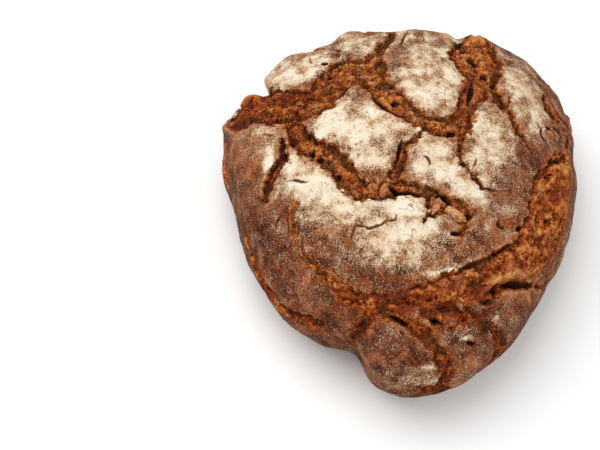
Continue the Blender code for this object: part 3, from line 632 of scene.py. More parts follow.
def loafRelief(points, shape):
    # how far the crust stands out from the form, and what the materials need to know
    edge, step, soft, rim, runAlong, runAcross = tearField(points, shape)
    close = np.flatnonzero(np.abs(edge) < relief["ragReach"])
    rags = between(relief["crispRags"], relief["softRags"], soft[close])
    edge[close] += rags * lumps(points[close], *relief["rags"])
    torn = smoothStep(0.0, 1.0, -edge / between(relief["wallWidth"], relief["softWallWidth"], soft))
    swell = relief["swellShare"] * smoothStep(*relief["swell"], -edge)
    out = bumps(points, *relief["uneven"]) + bumps(points, *relief["dimples"])
    rounding = relief["roundingShare"] * (1.0 - relief["softRounding"] * soft)
    out -= rounding * step * np.exp(-np.maximum(edge, 0.0) / relief["roundingReach"])
    out -= torn * step * (1.0 - swell)
    inside = np.flatnonzero(torn > 0.0)
    out[inside] += torn[inside] * crumbRelief(points[inside], rim[inside],
                                              runAlong[inside], runAcross[inside])
    skin = np.flatnonzero(torn < 1.0)
    out[skin] += (1.0 - torn[skin]) * (bumps(points[skin], *relief["skinLumps"])
                                       + bumps(points[skin], *relief["skinGrit"]))

    # sunk marks the slits and pits, where the crumb's colour gets painted shade
    sunk, crest = np.zeros((2, len(points)))
    for near, gap, width, half, depth in alongEach(points, shape, slits, firstSeeds["slits"]):
        start, end = relief["slitWall"]
        cut = (1.0 - smoothStep(start * width, end * width, gap)) * width / half
        out[near] -= depth * cut
        sunk[near] = np.maximum(sunk[near], cut)
    for near, gap, width, _, height in alongEach(points, shape, strands, firstSeeds["strands"]):
        own = torn[near] * (1.0 - smoothStep(*relief["strandWall"], gap / width))
        out[near] += height * own
        crest[near] = np.maximum(crest[near], own * min(1.0, height / relief["fullCrest"]))
    for across, up, radius, depth in pits:
        middle = np.array(castFromEye(shape, across, up)[0])
        gap = np.linalg.norm(points - middle, axis=1) / radius
        near = np.flatnonzero(gap < relief["pitReach"])
        gap = gap[near] + bumps(points[near], *relief["pitRags"])
        cut = 1.0 - smoothStep(*relief["pitWall"], gap)
        out[near] -= depth * cut
        sunk[near] = np.maximum(sunk[near], cut)
    for *place, height in lobes:
        out += height * spread(points, shape, *place)

    crack = np.full(len(points), relief["crackFar"])
    depth = relief["crackDepth"]
    hairlines = [(line, relief["crackHalf"], depth) for line in cracks]
    for near, gap, width, half, _ in alongEach(points, shape, hairlines, firstSeeds["cracks"]):
        crack[near] = np.minimum(crack[near], gap + half - width)
    out -= depth * (1.0 - smoothStep(0.0, relief["crackWidth"], crack))
    out += hump(crack, *relief["crackLip"])
    return out, {"edge": edge, "soft": soft, "sunk": sunk, "crest": crest, "crack": crack,
                 "stretch": rim, "runAlong": runAlong, "runAcross": runAcross}


def hump(values, height, place, width):
    return height * np.exp(-((values - place) / width) ** 2)


def meshEdges(mesh):
    return np.array([[e.verts[0].index, e.verts[1].index] for e in mesh.edges])


def gathered(edges, toFirst, toSecond, count):
    # for each point, the sum of what its edges bring to their first and second ends
    first, second = edges.T
    return np.bincount(first, toFirst, count) + np.bincount(second, toSecond, count)


def smoothed(values, edges, rounds):
    # each round takes the mean of a point and its neighbours
    first, second = edges.T
    count = len(values)
    weight = 1.0 + gathered(edges, None, None, count)
    for _ in range(rounds):
        values = (values + gathered(edges, values[second], values[first], count)) / weight
    return values


def slope(points, values, edges):
    # gradient of a value over the surface
    first, second = edges.T
    count = len(points)
    run = points[second] - points[first]
    length = np.linalg.norm(run, axis=1)
    pull = ((values[second] - values[first]) / length ** 2)[:, None] * run
    total = np.column_stack([gathered(edges, part, part, count) for part in pull.T])
    return 2.0 * total / gathered(edges, None, None, count)[:, None]


def flourField(points, shape):
    def spot(across, up, reachAcross, reachUp):
        return spread(points, shape, across, up, reachAcross, reachUp, flour["deep"] * reachUp)

    height = points[:, 2]
    amount = np.zeros(len(points))
    for *place, strength in flour["patches"]:
        amount = np.maximum(amount, strength * spot(*place))
    back = smoothStep(*flour["backDepths"], points[:, 1])
    back *= smoothStep(*flour["backHeights"], height)
    back *= flour["backAmount"] + bumps(points, *flour["backBumps"])
    base = flour["sideAmount"] + flour["topAmount"] * smoothStep(*flour["topHeights"], height)
    amount = np.maximum(amount, back) + base * (1.0 - amount)
    for *place, share in flour["bare"]:
        amount *= 1.0 - share * spot(*place)
    return np.clip(amount, 0.0, flour["most"])


def loafMesh(level):
    loaf = sphereMesh(level)
    setPoints(loaf, formPoints(meshPoints(loaf)))
    shape = BVHTree.FromBMesh(loaf)
    points = meshPoints(loaf)
    normals = np.array([v.normal for v in loaf.verts])
    edges = meshEdges(loaf)
    print("loaf: form of", len(points), "points")
    out, fields = loafRelief(points, shape)
    fields["flour"] = flourField(points, shape)
    # cavity and hollow drive the painted shade and the painted highlight in the crust's colour
    fields["cavity"] = np.maximum(smoothed(out, edges, relief["cavityRounds"]) - out,
                                  -relief["crestLimit"])
    fields["hollow"] = smoothed(out, edges, relief["hollowRounds"]) - out
    fade = smoothStep(0.0, relief["footFade"], points[:, 2])
    lean = slope(points, fields["edge"], edges)
    lean /= np.maximum(np.linalg.norm(lean, axis=1), 1.0)[:, None]
    lip = hump(fields["edge"], *relief["overhang"]) * (1.0 - fields["soft"])
    points = points + normals * (out * fade)[:, None] - lean * (lip * fade)[:, None]
    points[points[:, 2] < form["flatLimit"], 2] = 0.0
    setPoints(loaf, points)
    print("loaf: crust torn")
    return loaf, shape, fields


def makePiece(name, mesh, fields):
    # an object in metres from a bmesh in millimetres
    bmesh.ops.scale(mesh, vec=(mm, mm, mm), verts=mesh.verts)
    data = bpy.data.meshes.new(name)
    mesh.to_mesh(data)
    mesh.free()
    for label, values in fields.items():
        layer = data.attributes.new(label, "FLOAT", "POINT")
        layer.data.foreach_set("value", values.astype(np.float32))
    piece = bpy.data.objects.new(name, data)
    bpy.context.scene.collection.objects.link(piece)
    return piece


def thin(piece, triangles):
    # collapse to a number of triangles, keeping the fields
    piece.data.calc_loop_triangles()
    reduce = piece.modifiers.new("reduce", "DECIMATE")
    reduce.ratio = min(1.0, triangles / len(piece.data.loop_triangles))
    reduce.use_collapse_triangulate = True
    bpy.context.view_layer.update()
    fine = bpy.data.meshes.new_from_object(
        piece.evaluated_get(bpy.context.evaluated_depsgraph_get()))
    piece.modifiers.remove(reduce)
    for vert in fine.vertices:
        if vert.co.z < form["flatLimit"] * mm:
            vert.co.z = 0.0
    piece.data = fine
    fine.shade_smooth()


loafBuild, loafShape, loafFields = loafMesh(form["level"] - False)
loafPiece = makePiece("loafCrust", loafBuild, loafFields)
thin(loafPiece, form["triangles"])
print("loaf: thinned to", len(loafPiece.data.polygons), "triangles")

# Pieces of walnut, in the tears and under the crust.
walnuts = {
    # name, across, up, length, width, height, turn on the sheet, depth of its middle
    "places": (
        ("walnut_1", 23.3, 12.2, 11.5, 5.0, 6.0, 66, 3.0),
        ("walnut_2", 35.0, 6.8, 14.0, 7.0, 7.0, -38, 3.0),
        ("walnut_3", 93.0, 55.5, 7.0, 5.0, 5.0, -35, 3.3),
        ("walnut_4", -15.4, 23.6, 6.5, 5.6, 5.0, 70, 2.7),
        ("walnut_5", -8.3, 21.8, 9.0, 5.0, 5.5, 75, 2.2),
        ("walnut_6", 67.0, 1.0, 11.5, 6.5, 5.5, 12, 1.5),
        ("walnut_7", 28.0, -35.0, 7.0, 6.0, 5.0, 5, 1.2),
        ("walnut_8", 37.0, -34.0, 8.5, 6.5, 5.5, 60, 1.6),
        ("walnut_9", 32.0, -58.0, 9.5, 6.0, 5.5, -20, 1.8),
        ("walnut_10", -103.5, 60.5, 7.0, 5.5, 5.0, 70, 1.5),
    ),
    # how toasted each of them is, from pale (0) to dark (1)
    "toast": (0.4, 0.25, 0.7, 0.8, 0.7, 1.0, 1.0, 1.0, 1.0, 0.7),
    "level": 6,              # subdivisions of the sphere that a kernel starts from
    # sizes are shares of a kernel: height, size, octaves, first seed
    "lobes": (0.16, 0.9, 2, 20),
    "furrows": (0.12, 0.45, 2, 40),
    "furrowRest": 0.25,      # a furrow's value at the kernel's own size
}


def walnutMesh(shape, across, up, length, width, height, turn, depth, number):
    spot, normal = castFromEye(shape, across, up)
    lean = math.radians(turn)
    alongNut = math.cos(lean) * sheetRight + math.sin(lean) * sheetUp
    alongNut = (alongNut - alongNut.dot(normal) * normal).normalized()
    aside = normal.cross(alongNut)
    middle = spot - depth * normal
    nut = sphereMesh(walnuts["level"])
    points = meshPoints(nut)
    lobeHeight, *lobeNoise, lobeSeed = walnuts["lobes"]
    furrowHeight, *furrowNoise, furrowSeed = walnuts["furrows"]
    furrow = np.abs(lumps(points, *furrowNoise, furrowSeed + number))
    swell = 1.0 + bumps(points, lobeHeight, *lobeNoise, lobeSeed + number)
    swell += furrowHeight * (furrow - walnuts["furrowRest"])
    local = points * np.array((length, width, height)) / 2 * swell[:, None]
    setPoints(nut, local @ np.array((alongNut, aside, normal)) + np.array(middle))
    return nut, {"furrow": furrow, "toast": np.full(len(points), walnuts["toast"][number])}


walnutPieces = []
for number, (name, *place) in enumerate(walnuts["places"]):
    nut, nutFields = walnutMesh(loafShape, *place, number)
    piece = makePiece(name + ".kernel", nut, nutFields)
    piece.data.shade_smooth()
    walnutPieces.append((piece, name))
print("walnuts:", len(walnutPieces), "pieces")


class Wiring:
    # adds nodes to one tree, and joins them as it goes

    def __init__(self, tree):
        self.tree = tree

    def join(self, source, socket):
        if isinstance(source, bpy.types.NodeSocket):
            self.tree.links.new(source, socket)
        elif source is not None:
            socket.default_value = source

    def node(self, kind, inputs, **settings):
        made = self.tree.nodes.new(kind)
        for key, value in settings.items():
            setattr(made, key, value)
        for key, value in inputs.items():        # by the sockets' names or numbers
            self.join(value, made.inputs[key])
        return made

    def maths(self, operation, *values):
        made = self.node("ShaderNodeMath", dict(enumerate(values)), operation=operation)
        return made.outputs[0]

    def times(self, first, second):
        return self.maths("MULTIPLY", first, second)

    def less(self, first, second):
        return self.maths("SUBTRACT", first, second)

    def add(self, base, *pairs):
        # the base and each value of the pairs, times its share
        for value, share in pairs:
            base = self.maths("MULTIPLY_ADD", value, share, base)
        return base

    def ramp(self, value, low, high, start=0.0, end=1.0):
        given = dict(enumerate((value, low, high, start, end)))
        made = self.node("ShaderNodeMapRange", given, interpolation_type="SMOOTHSTEP")
        return made.outputs[0]

    def noise(self, place, size, detail, roughness, distortion=0.0):
        scale = self.maths("DIVIDE", 1.0, size)
        return self.node("ShaderNodeTexNoise", {
            "Vector": place, "Scale": scale, "Detail": detail, "Roughness": roughness,
            "Distortion": distortion}).outputs[0]

    def swing(self, place, *look):
        # noise about zero
        return self.less(self.noise(place, *look), 0.5)

    def patches(self, place, look, fade):
        return self.ramp(self.noise(place, *look), *fade)

    def mix(self, share, first, second):
        made = self.node("ShaderNodeMix", {0: share, 6: first, 7: second}, data_type="RGBA")
        return made.outputs[2]

    def stained(self, base, place, look, fade, colour):
        # patches of another colour
        return self.mix(self.patches(place, look, fade), base, colour)

    def flecked(self, base, place, grains, clumps, clumping, fade, colour):
        # grains of another colour, which lie closer together in some places
        level = self.add(self.noise(place, *grains), (self.swing(place, *clumps), clumping))
        return self.mix(self.ramp(level, *fade), base, colour)

    def colours(self, value, stops):
        made = self.node("ShaderNodeValToRGB", {"Fac": value})
        for place, _ in stops[1:-1]:
            made.color_ramp.elements.new(place)
        for element, (_, colour) in zip(made.color_ramp.elements, stops):
            element.color = (*colour, 1.0)
        return made.outputs[0]

    def field(self, name):
        return self.node("ShaderNodeAttribute", {}, attribute_name=name).outputs["Fac"]

    def scaled(self, vector, share):
        made = self.node("ShaderNodeVectorMath", {0: vector, "Scale": share}, operation="SCALE")
        return made.outputs[0]

    def place(self):
        # where a point of the piece is, in millimetres
        return self.scaled(self.node("ShaderNodeTexCoord", {}).outputs["Object"], 1.0 / mm)

    def group(self, shared, **inputs):
        # the tree is set first, because the sockets come with it
        return self.node("ShaderNodeGroup", inputs, node_tree=shared).outputs

    def bump(self, height):
        made = self.node("ShaderNodeBump", {"Height": height, "Strength": 1.0, "Distance": mm})
        return made.outputs[0]


def newGroup(name, inputs, outputs):
    shared = bpy.data.node_groups.new(name, "ShaderNodeTree")
    for label, start in inputs.items():
        kind = "NodeSocketVector" if start is None else "NodeSocketFloat"
        socket = shared.interface.new_socket(label, in_out="INPUT", socket_type=kind)
        if start is not None:
            socket.default_value = start
    for label in outputs:
        shared.interface.new_socket(label, in_out="OUTPUT", socket_type="NodeSocketFloat")
    wires = Wiring(shared)
    given = wires.node("NodeGroupInput", {}).outputs
    result = wires.node("NodeGroupOutput", {}).inputs
    return shared, wires, given, result


# In what follows, noise goes by its size in millimetres, detail, roughness and distortion,
# a fade by where it starts and ends and by its values there, and stains and flecks by
# their noise, their fade and, last, their colour.

dustLook = {
    "patches": (5.0, 0.65),          # detail and roughness; the sizes are inputs
    "grains": (3.0, 0.7),
    "patchiness": 1.5,
    "graininess": (0.1, 0.8, 2.8, 1.0),      # thin flour lies in grains, thick flour less so
    "cover": (0.06, 0.95),
}


def flourDustGroup():
    # flour: how thick it lies, from bare (0) to a closed layer (1), in patches and grains
    shared, wires, given, result = newGroup(
        "flourDust", {"Place": None, "Amount": 0.5, "Patch": 9.0, "Grain": 0.8},
        ("Thickness", "Height"))
    patches = wires.swing(given["Place"], given["Patch"], *dustLook["patches"])
    grains = wires.noise(given["Place"], given["Grain"], *dustLook["grains"])
    level = wires.add(given["Amount"], (patches, dustLook["patchiness"]))
    graininess = wires.ramp(level, *dustLook["graininess"])
    level = wires.add(level, (wires.less(grains, 0.5), graininess))
    thickness = wires.ramp(level, *dustLook["cover"])
    wires.join(thickness, result["Thickness"])
    wires.join(wires.times(thickness, grains), result["Height"])
    return shared


wormLook = {
    "waves": (1.0, 0.4, 0.6),        # detail, roughness, distortion
    "gapSize": 2.3,                  # next to the size of the waves
    "gaps": (2.0, 0.6),
    "gapFade": (0.52, 0.64),
}


def wormLinesGroup():
    # short winding wrinkles
    shared, wires, given, result = newGroup(
        "wormLines", {"Place": None, "Size": 2.0, "Width": 0.05}, ("Mask",))
    waves = wires.swing(given["Place"], given["Size"], *wormLook["waves"])
    line = wires.ramp(wires.maths("ABSOLUTE", waves), 0.0, given["Width"], 1.0, 0.0)
    gapSize = wires.times(given["Size"], wormLook["gapSize"])
    gaps = wires.patches(given["Place"], (gapSize, *wormLook["gaps"]), wormLook["gapFade"])
    wires.join(wires.times(line, gaps), result["Mask"])
    return shared


mottleLook = {
    "coarse": (4.0, 0.6),            # detail and roughness
    "fine": (3.0, 0.7),
}


def bakedMottleGroup():
    # uneven browning, coarse and fine together, about a tone of a half
    shared, wires, given, result = newGroup(
        "bakedMottle",
        {"Place": None, "Size": 6.0, "Grit": 0.7, "Blotches": 1.0, "Contrast": 1.4},
        ("Tone", "Height"))
    coarse = wires.swing(given["Place"], given["Size"], *mottleLook["coarse"])
    fine = wires.noise(given["Place"], given["Grit"], *mottleLook["fine"])
    wires.join(wires.add(wires.maths("MULTIPLY_ADD", coarse, given["Blotches"], 0.5),
                         (wires.less(fine, 0.5), given["Contrast"])), result["Tone"])
    wires.join(fine, result["Height"])
    return shared


flourDust = flourDustGroup()
wormLines = wormLinesGroup()
bakedMottle = bakedMottleGroup()


def newMaterial(name):
    material = bpy.data.materials.new(name)
    material.use_nodes = True
    tree = material.node_tree
    return material, Wiring(tree), tree.nodes["Principled BSDF"]


skinLook = {
    # colours by tone, from dark to light
    "skin": ((0.0, (0.010, 0.0022, 0.0010)), (0.3, (0.055, 0.0118, 0.0048)),
             (0.5, (0.155, 0.0345, 0.0125)), (0.68, (0.29, 0.076, 0.025)),
             (1.0, (0.58, 0.25, 0.10))),
    "plumSkin": ((0.0, (0.010, 0.0028, 0.0022)), (0.3, (0.044, 0.0120, 0.0078)),
                 (0.5, (0.112, 0.0350, 0.0215)), (0.68, (0.20, 0.0750, 0.0430)),
                 (1.0, (0.46, 0.23, 0.13))),
    "flour": ((0.0, (0.25, 0.092, 0.034)), (0.3, (0.42, 0.222, 0.100)),
              (0.6, (0.66, 0.470, 0.285)), (0.85, (0.82, 0.680, 0.500)),
              (1.0, (0.88, 0.790, 0.640))),
    "wrinkleColour": (0.21, 0.070, 0.024, 1.0),
    "creaseColour": (0.230, 0.080, 0.028, 1.0),
    "crackColour": (0.042, 0.011, 0.004, 1.0),
    # the tone of the skin: painted shade in cavities and hollows and a painted highlight on crests,
    # and lighter in some regions
    "mottle": {"Size": 9.0, "Grit": 0.7, "Blotches": 1.1, "Contrast": 2.0},
    "paintedShadeAndCrestLight": -0.5,
    "paintedHollowShadeAndLight": -0.07,
    "regions": (24.0, 2.0, 0.5),
    "regionTone": 0.8,
    "toneShift": -0.062,
    "plum": ((16.0, 3.0, 0.6), (0.46, 0.6, 0.0, 0.4)),
    "blush": ((6.0, 4.0, 0.7), (0.54, 0.66, 0.0, 0.6), (0.30, 0.068, 0.016, 1.0)),
    # the flour's layer, with wrinkles, grains of bran and amber stains in it
    "dust": {"Patch": 8.0, "Grain": 0.75},
    "flourMottle": (3.0, 4.0, 0.7),
    "flourContrast": 0.7,
    "cover": (0.08, 0.62, 0.0, 0.97),
    "wrinkles": {"Size": 2.8, "Width": 0.05},
    "wrinkleShare": 0.6,
    "pepper": ((0.75, 2.0, 0.6), (6.0, 2.0, 0.6), 0.5, (0.60, 0.70, 0.0, 0.6),
               (0.20, 0.078, 0.030, 1.0)),
    "amber": ((6.0, 4.0, 0.7), (0.62, 0.68, 0.0, 0.75), (0.62, 0.26, 0.055, 1.0)),
    # flecks of flour and fine creases all over, and the hairline cracks
    "specks": ((0.8, 2.0, 0.6), (7.0, 3.0, 0.6), 0.6, (0.61, 0.67, 0.0, 0.65),
               (0.62, 0.41, 0.245, 1.0)),
    "creases": {"Size": 4.5, "Width": 0.03},
    "creaseShare": 0.8,
    "crackRags": (1.3, 3.0, 0.7),
    "crackRagged": 1.6,
    "crackSide": (0.6, 1.3, 0.92, 0.0),
    "crackCore": (0.1, 0.85, 0.92, 0.0),
    # relief
    "dustHeight": 0.35,
    "mottleHeight": 0.6,
    "wrinkleHeight": -0.35,
    "creaseHeight": -0.35,
}


def skinColour(wires, place, cavity):
    # baked skin, its flour and its hairlines; also the flour's thickness and the relief
    look = skinLook
    mottle = wires.group(bakedMottle, Place=place, **look["mottle"])
    # cavity and hollow paint shade into the skin's low places and light onto its crests
    tone = wires.add(mottle["Tone"],
                     (cavity, look["paintedShadeAndCrestLight"]),
                     (wires.field("hollow"), look["paintedHollowShadeAndLight"]),
                     (wires.swing(place, *look["regions"]), look["regionTone"]),
                     (look["toneShift"], 1.0))
    skin = wires.colours(tone, look["skin"])
    skin = wires.stained(skin, place, *look["plum"], wires.colours(tone, look["plumSkin"]))
    skin = wires.stained(skin, place, *look["blush"])

    dust = wires.group(flourDust, Place=place, Amount=wires.field("flour"), **look["dust"])
    flourTone = wires.add(dust["Thickness"],
                          (wires.swing(place, *look["flourMottle"]), look["flourContrast"]))
    floured = wires.colours(flourTone, look["flour"])
    wrinkles = wires.group(wormLines, Place=place, **look["wrinkles"])["Mask"]
    creases = wires.group(wormLines, Place=place, **look["creases"])["Mask"]
    floured = wires.mix(wires.times(wrinkles, look["wrinkleShare"]), floured,
                        look["wrinkleColour"])
    floured = wires.flecked(floured, place, *look["pepper"])
    floured = wires.stained(floured, place, *look["amber"])
    skin = wires.mix(wires.ramp(dust["Thickness"], *look["cover"]), skin, floured)
    skin = wires.flecked(skin, place, *look["specks"])
    skin = wires.mix(wires.times(creases, look["creaseShare"]), skin, look["creaseColour"])

    crack = wires.add(wires.field("crack"),
                      (wires.swing(place, *look["crackRags"]), look["crackRagged"]))
    skin = wires.mix(wires.ramp(crack, *look["crackSide"]), skin, look["creaseColour"])
    skin = wires.mix(wires.ramp(crack, *look["crackCore"]), skin, look["crackColour"])

    height = wires.add(wires.times(dust["Height"], look["dustHeight"]),
                       (mottle["Height"], look["mottleHeight"]),
                       (wrinkles, look["wrinkleHeight"]), (creases, look["creaseHeight"]))
    return skin, dust["Thickness"], height


crumbLook = {
    "crumb": ((0.0, (0.008, 0.0018, 0.0008)), (0.26, (0.056, 0.0090, 0.0020)),
              (0.46, (0.185, 0.0285, 0.0045)), (0.62, (0.36, 0.062, 0.0080)),
              (0.80, (0.56, 0.145, 0.022)), (1.0, (0.70, 0.32, 0.10))),
    "khakiCrumb": ((0.0, (0.008, 0.0026, 0.0010)), (0.26, (0.050, 0.0140, 0.0040)),
                   (0.46, (0.165, 0.0460, 0.0115)), (0.62, (0.33, 0.108, 0.028)),
                   (0.80, (0.52, 0.21, 0.070)), (1.0, (0.68, 0.38, 0.17))),
    "redColour": (0.250, 0.045, 0.014, 1.0),
    "oliveColour": (0.135, 0.056, 0.015, 1.0),
    "holeShadeColour": (0.042, 0.011, 0.004, 1.0),
    # fibres: the shares of the places along and across a tear, and how those bend
    "alongShare": 0.16,
    "acrossShare": 0.62,
    "bend": (7.0, 3.0, 0.6),
    "bendReach": 9.0,
    "layers": (9.0, 2.0, 0.5),
    "fibres": (1.0, 4.0, 0.65),
    "fibreContrast": 2.3,
    # the mottle, in some places stronger, and weaker where the crumb is drawn out
    "mottle": {"Size": 3.6, "Grit": 0.8, "Blotches": 1.0, "Contrast": 2.7},
    "uneven": ((12.0, 2.0, 0.6), (0.4, 0.6, 0.5, 1.25)),
    "drawnContrast": -0.45,
    # what makes it lighter or darker: painted shade in cavities, hollows, sunk slits and pits and
    # below crisp edges, and a painted highlight where cavities turn to crests
    "paintedShadeAndCrestLight": -0.18,
    "paintedHollowShadeAndLight": -0.07,
    "crestTone": 0.10,
    "paintedSunkShade": -0.42,
    "regions": (11.0, 2.0, 0.5),
    "regionTone": 0.7,
    "drawnToneFrontShade": (0.0, 1.0, 0.21, 0.06),     # at the side, and at the front
    "underEdge": (-4.0, -0.5, 0.0, 0.16),    # shade below a crisp edge
    "toneShift": -0.05,
    # places: at the front, where the drawn crumb is painted darker as shade, away from the left,
    # and at the right
    "front": (-88.0, -64.0, 1.0, 0.0),
    "fromLeft": (-75.0, -35.0),
    "right": (15.0, 40.0),
    "gentleTone": 0.08,
    "rightTone": 0.05,
    # tints
    "plum": ((10.0, 3.0, 0.6), (0.5, 0.62, 0.0, 0.4), (0.120, 0.030, 0.020, 1.0)),
    "streakSize": 0.3,
    "red": ((1.0, 3.0, 0.6), (0.48, 0.6, 0.0, 0.65)),
    "redShare": (0.0, 1.0, 0.6, 1.2),        # at the side, and at the front
    "khaki": ((7.0, 3.0, 0.6), (0.4, 0.58, 0.0, 0.8)),
    "rightKhaki": -0.65,
    "olive": ((8.0, 3.0, 0.6), (0.46, 0.6)),
    "oliveHollows": (0.0, 1.5, 0.0, 0.55),
    "bits": ((1.5, 2.0, 0.6), (0.62, 0.70, 0.0, 0.6), (0.54, 0.155, 0.022, 1.0)),
    # small holes, painted dark as the shade inside them
    "holeSize": 2.7,
    "hole": (0.16, 0.36, 1.0, 0.0),
    "holePlaces": ((5.0, 2.0, 0.6), (0.42, 0.52)),
    "holeShare": 0.85,
    # relief
    "mottleHeight": 1.3,
    "holeHeight": -0.8,
    "fibreHeight": 1.4,
}


def crumbFibres(wires, place):
    # places drawn out along the tears of the rim
    look = crumbLook
    bent = wires.add(wires.field("runAcross"),
                     (wires.noise(place, *look["bend"]), look["bendReach"]))
    return wires.node("ShaderNodeCombineXYZ", {
        0: wires.times(wires.field("runAlong"), look["alongShare"]),
        1: wires.times(bent, look["acrossShare"]),
        2: wires.noise(place, *look["layers"])}).outputs[0]


def crumbColour(wires, place, cavity, stretch, soft, sunk):
    # torn crumb, drawn out into fibres along the tears of the rim; also its relief
    look = crumbLook
    hollow = wires.field("hollow")
    drawn = crumbFibres(wires, place)
    fibres = wires.noise(drawn, *look["fibres"])
    across, depth, _ = wires.node("ShaderNodeSeparateXYZ", {0: place}).outputs
    # the front ramp also paints shade: the drawn crumb is darker towards the front
    front = wires.ramp(depth, *look["front"])
    gentle = wires.times(wires.ramp(across, *look["fromLeft"]),
                         wires.less(1.0, wires.maths("MAXIMUM", stretch, front)))
    right = wires.times(wires.ramp(across, *look["right"]), gentle)

    mottle = wires.group(bakedMottle, Place=place, **look["mottle"])
    contrast = wires.times(wires.patches(place, *look["uneven"]),
                           wires.maths("MULTIPLY_ADD", stretch, look["drawnContrast"], 1.0))
    tone = wires.maths("MULTIPLY_ADD", wires.less(mottle["Tone"], 0.5), contrast, 0.5)
    # cavity, hollow and sunk paint shade into the crumb, and light onto the crests of cavities
    tone = wires.add(tone,
                     (cavity, look["paintedShadeAndCrestLight"]),
                     (hollow, look["paintedHollowShadeAndLight"]),
                     (wires.swing(place, *look["regions"]), look["regionTone"]),
                     (wires.times(wires.less(fibres, 0.5), look["fibreContrast"]), stretch),
                     (wires.ramp(front, *look["drawnToneFrontShade"]), stretch),
                     (gentle, look["gentleTone"]),
                     (right, look["rightTone"]),
                     (wires.field("crest"), look["crestTone"]),
                     (sunk, look["paintedSunkShade"]),
                     (look["toneShift"], 1.0))
    underEdge = wires.ramp(wires.field("edge"), *look["underEdge"])
    tone = wires.less(tone, wires.times(underEdge, wires.less(1.0, soft)))

    crumb = wires.colours(tone, look["crumb"])
    crumb = wires.stained(crumb, place, *look["plum"])
    red = wires.times(wires.patches(wires.scaled(drawn, look["streakSize"]), *look["red"]),
                      wires.ramp(front, *look["redShare"]))
    crumb = wires.mix(wires.times(red, stretch), crumb, look["redColour"])
    khaki = wires.times(wires.patches(place, *look["khaki"]),
                        wires.add(gentle, (right, look["rightKhaki"])))
    crumb = wires.mix(khaki, crumb, wires.colours(tone, look["khakiCrumb"]))
    olive = wires.times(wires.patches(place, *look["olive"]),
                        wires.ramp(hollow, *look["oliveHollows"]))
    olive = wires.times(olive, wires.less(1.0, sunk))
    crumb = wires.mix(olive, crumb, look["oliveColour"])
    crumb = wires.stained(crumb, place, *look["bits"])
    # the holes' dark colour is painted shade; the relief has only a slight dip there
    cells = wires.node("ShaderNodeTexVoronoi", {
        "Vector": place, "Scale": 1.0 / look["holeSize"]}).outputs["Distance"]
    holes = wires.times(wires.ramp(cells, *look["hole"]),
                        wires.patches(place, *look["holePlaces"]))
    crumb = wires.mix(wires.times(holes, look["holeShare"]), crumb, look["holeShadeColour"])

    height = wires.add(wires.times(mottle["Height"], look["mottleHeight"]),
                       (holes, look["holeHeight"]),
                       (wires.times(fibres, stretch), look["fibreHeight"]))
    return crumb, height


crustLook = {
    # how ragged the holes are, and the border of skin and crumb, more so where it is soft
    "holeRags": (1.8, 3.0, 0.7),
    "holeRagged": 0.9,
    "sunk": (0.25, 0.85),
    "rags": (1.2, 3.0, 0.7),
    "ragged": 1.6,
    "softRagged": 15.0,
    "tatters": (5.0, 3.0, 0.6),
    "softTattered": 13.0,
    "torn": (-0.1, 0.5, 1.0, 0.0),
    "tornHoles": (0.0, 0.3),
    "roughness": (0.0, 1.0, 0.70, 0.95),     # bare, and under flour
    "specular": 0.06,
}


def crustMaterial():
    look = crustLook
    material, wires, shader = newMaterial("crust")
    place = wires.place()
    cavity = wires.field("cavity")
    stretch = wires.field("stretch")
    soft = wires.field("soft")
    # sunk: the slits and pits, shown as crumb and painted with shade
    sunk = wires.ramp(wires.add(wires.field("sunk"),
                                (wires.swing(place, *look["holeRags"]), look["holeRagged"])),
                      *look["sunk"])
    skin, floured, skinHeight = skinColour(wires, place, cavity)
    crumb, crumbHeight = crumbColour(wires, place, cavity, stretch, soft, sunk)

    ragged = wires.maths("MULTIPLY_ADD", soft, look["softRagged"], look["ragged"])
    tattered = wires.times(soft, look["softTattered"])
    edge = wires.add(wires.field("edge"), (wires.swing(place, *look["rags"]), ragged),
                     (wires.swing(place, *look["tatters"]), tattered))
    torn = wires.maths("MAXIMUM", wires.ramp(edge, *look["torn"]),
                       wires.ramp(sunk, *look["tornHoles"]))
    height = wires.node("ShaderNodeMix", {0: torn, 2: skinHeight, 3: crumbHeight},
                        data_type="FLOAT").outputs[0]
    wires.join(wires.mix(torn, skin, crumb), shader.inputs["Base Color"])
    wires.join(wires.ramp(floured, *look["roughness"]), shader.inputs["Roughness"])
    wires.join(wires.bump(height), shader.inputs["Normal"])
    shader.inputs["Specular IOR Level"].default_value = look["specular"]
    return material


kernelLook = {
    "pale": ((0.0, (0.09, 0.026, 0.006)), (0.4, (0.40, 0.15, 0.040)),
             (0.65, (0.62, 0.32, 0.12)), (1.0, (0.78, 0.52, 0.27))),
    "toasted": ((0.0, (0.02, 0.004, 0.001)), (0.4, (0.16, 0.032, 0.007)),
                (0.65, (0.31, 0.070, 0.015)), (1.0, (0.56, 0.20, 0.055))),
    "flour": (0.80, 0.68, 0.52, 1.0),
    "mottle": {"Size": 2.6, "Grit": 0.6, "Blotches": 1.2, "Contrast": 1.2},
    "furrowTone": 0.7,
    "toneShift": -0.12,
    "dust": {"Amount": -0.25, "Patch": 3.0, "Grain": 0.6},
    "dusted": (0.35, 0.8),
    "height": 0.3,
    "roughness": 0.5,
    "specular": 0.2,
}


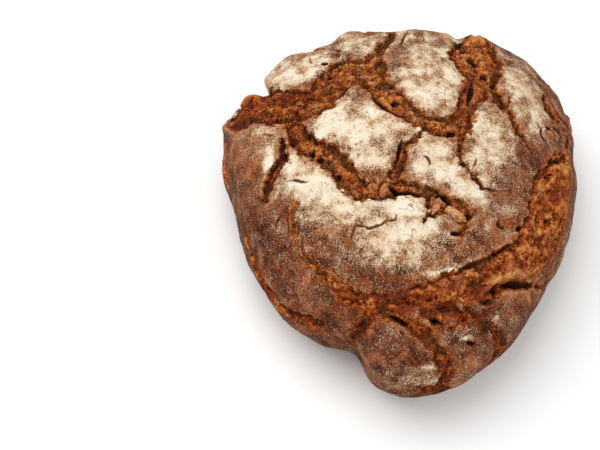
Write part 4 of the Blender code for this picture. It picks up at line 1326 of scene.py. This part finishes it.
def kernelMaterial():
    look = kernelLook
    material, wires, shader = newMaterial("kernel")
    place = wires.place()
    mottle = wires.group(bakedMottle, Place=place, **look["mottle"])
    tone = wires.add(mottle["Tone"], (wires.field("furrow"), look["furrowTone"]),
                     (look["toneShift"], 1.0))
    colour = wires.mix(wires.field("toast"), wires.colours(tone, look["pale"]),
                       wires.colours(tone, look["toasted"]))
    dust = wires.group(flourDust, Place=place, **look["dust"])
    colour = wires.mix(wires.ramp(dust["Thickness"], *look["dusted"]), colour, look["flour"])
    wires.join(colour, shader.inputs["Base Color"])
    wires.join(wires.bump(wires.times(mottle["Height"], look["height"])), shader.inputs["Normal"])
    shader.inputs["Roughness"].default_value = look["roughness"]
    shader.inputs["Specular IOR Level"].default_value = look["specular"]
    return material


crust = crustMaterial()
kernel = kernelMaterial()
loafPiece.data.materials.append(crust)
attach(loafPiece, "root")
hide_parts("loaf")
for piece, name in walnutPieces:
    piece.data.materials.append(kernel)
    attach(piece, "root")
    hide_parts(name)
print("materials: crust and kernel")

# A pale floor under soft light.
studio = {
    "floorSize": 6000.0,
    "floorColour": (0.86, 0.86, 0.85, 1.0),
    "floorRoughness": 0.9,
    "skyColour": (1.0, 1.0, 1.0, 1.0),
    "sky": 0.66,
    "key": {"place": (-500.0, 400.0, 1300.0), "size": 1500.0, "power": 18.0},
    "fill": {"place": (700.0, -900.0, 1000.0), "size": 1500.0, "power": 7.0},
}


def makeFloor():
    mesh = bmesh.new()
    bmesh.ops.create_grid(mesh, x_segments=1, y_segments=1, size=studio["floorSize"] / 2)
    floor = makePiece("floor", mesh, {})
    material, _, shader = newMaterial("paleFloor")
    shader.inputs["Base Color"].default_value = studio["floorColour"]
    shader.inputs["Roughness"].default_value = studio["floorRoughness"]
    floor.data.materials.append(material)


def makeLamp(name, place, size, power):
    lamp = bpy.data.lights.new(name, "AREA")
    lamp.size = size * mm
    lamp.energy = power
    light = bpy.data.objects.new(name, lamp)
    light.location = Vector(place) * mm
    light.rotation_euler = (-Vector(place)).to_track_quat("-Z", "Y").to_euler()
    bpy.context.scene.collection.objects.link(light)


def makeSky():
    world = bpy.data.worlds.new("studio")
    world.use_nodes = True
    sky = world.node_tree.nodes["Background"]
    sky.inputs["Color"].default_value = studio["skyColour"]
    sky.inputs["Strength"].default_value = studio["sky"]
    bpy.context.scene.world = world


makeFloor()
makeLamp("key", **studio["key"])
makeLamp("fill", **studio["fill"])
makeSky()
bpy.context.scene.view_settings.view_transform = "Standard"
print("studio: floor and light")
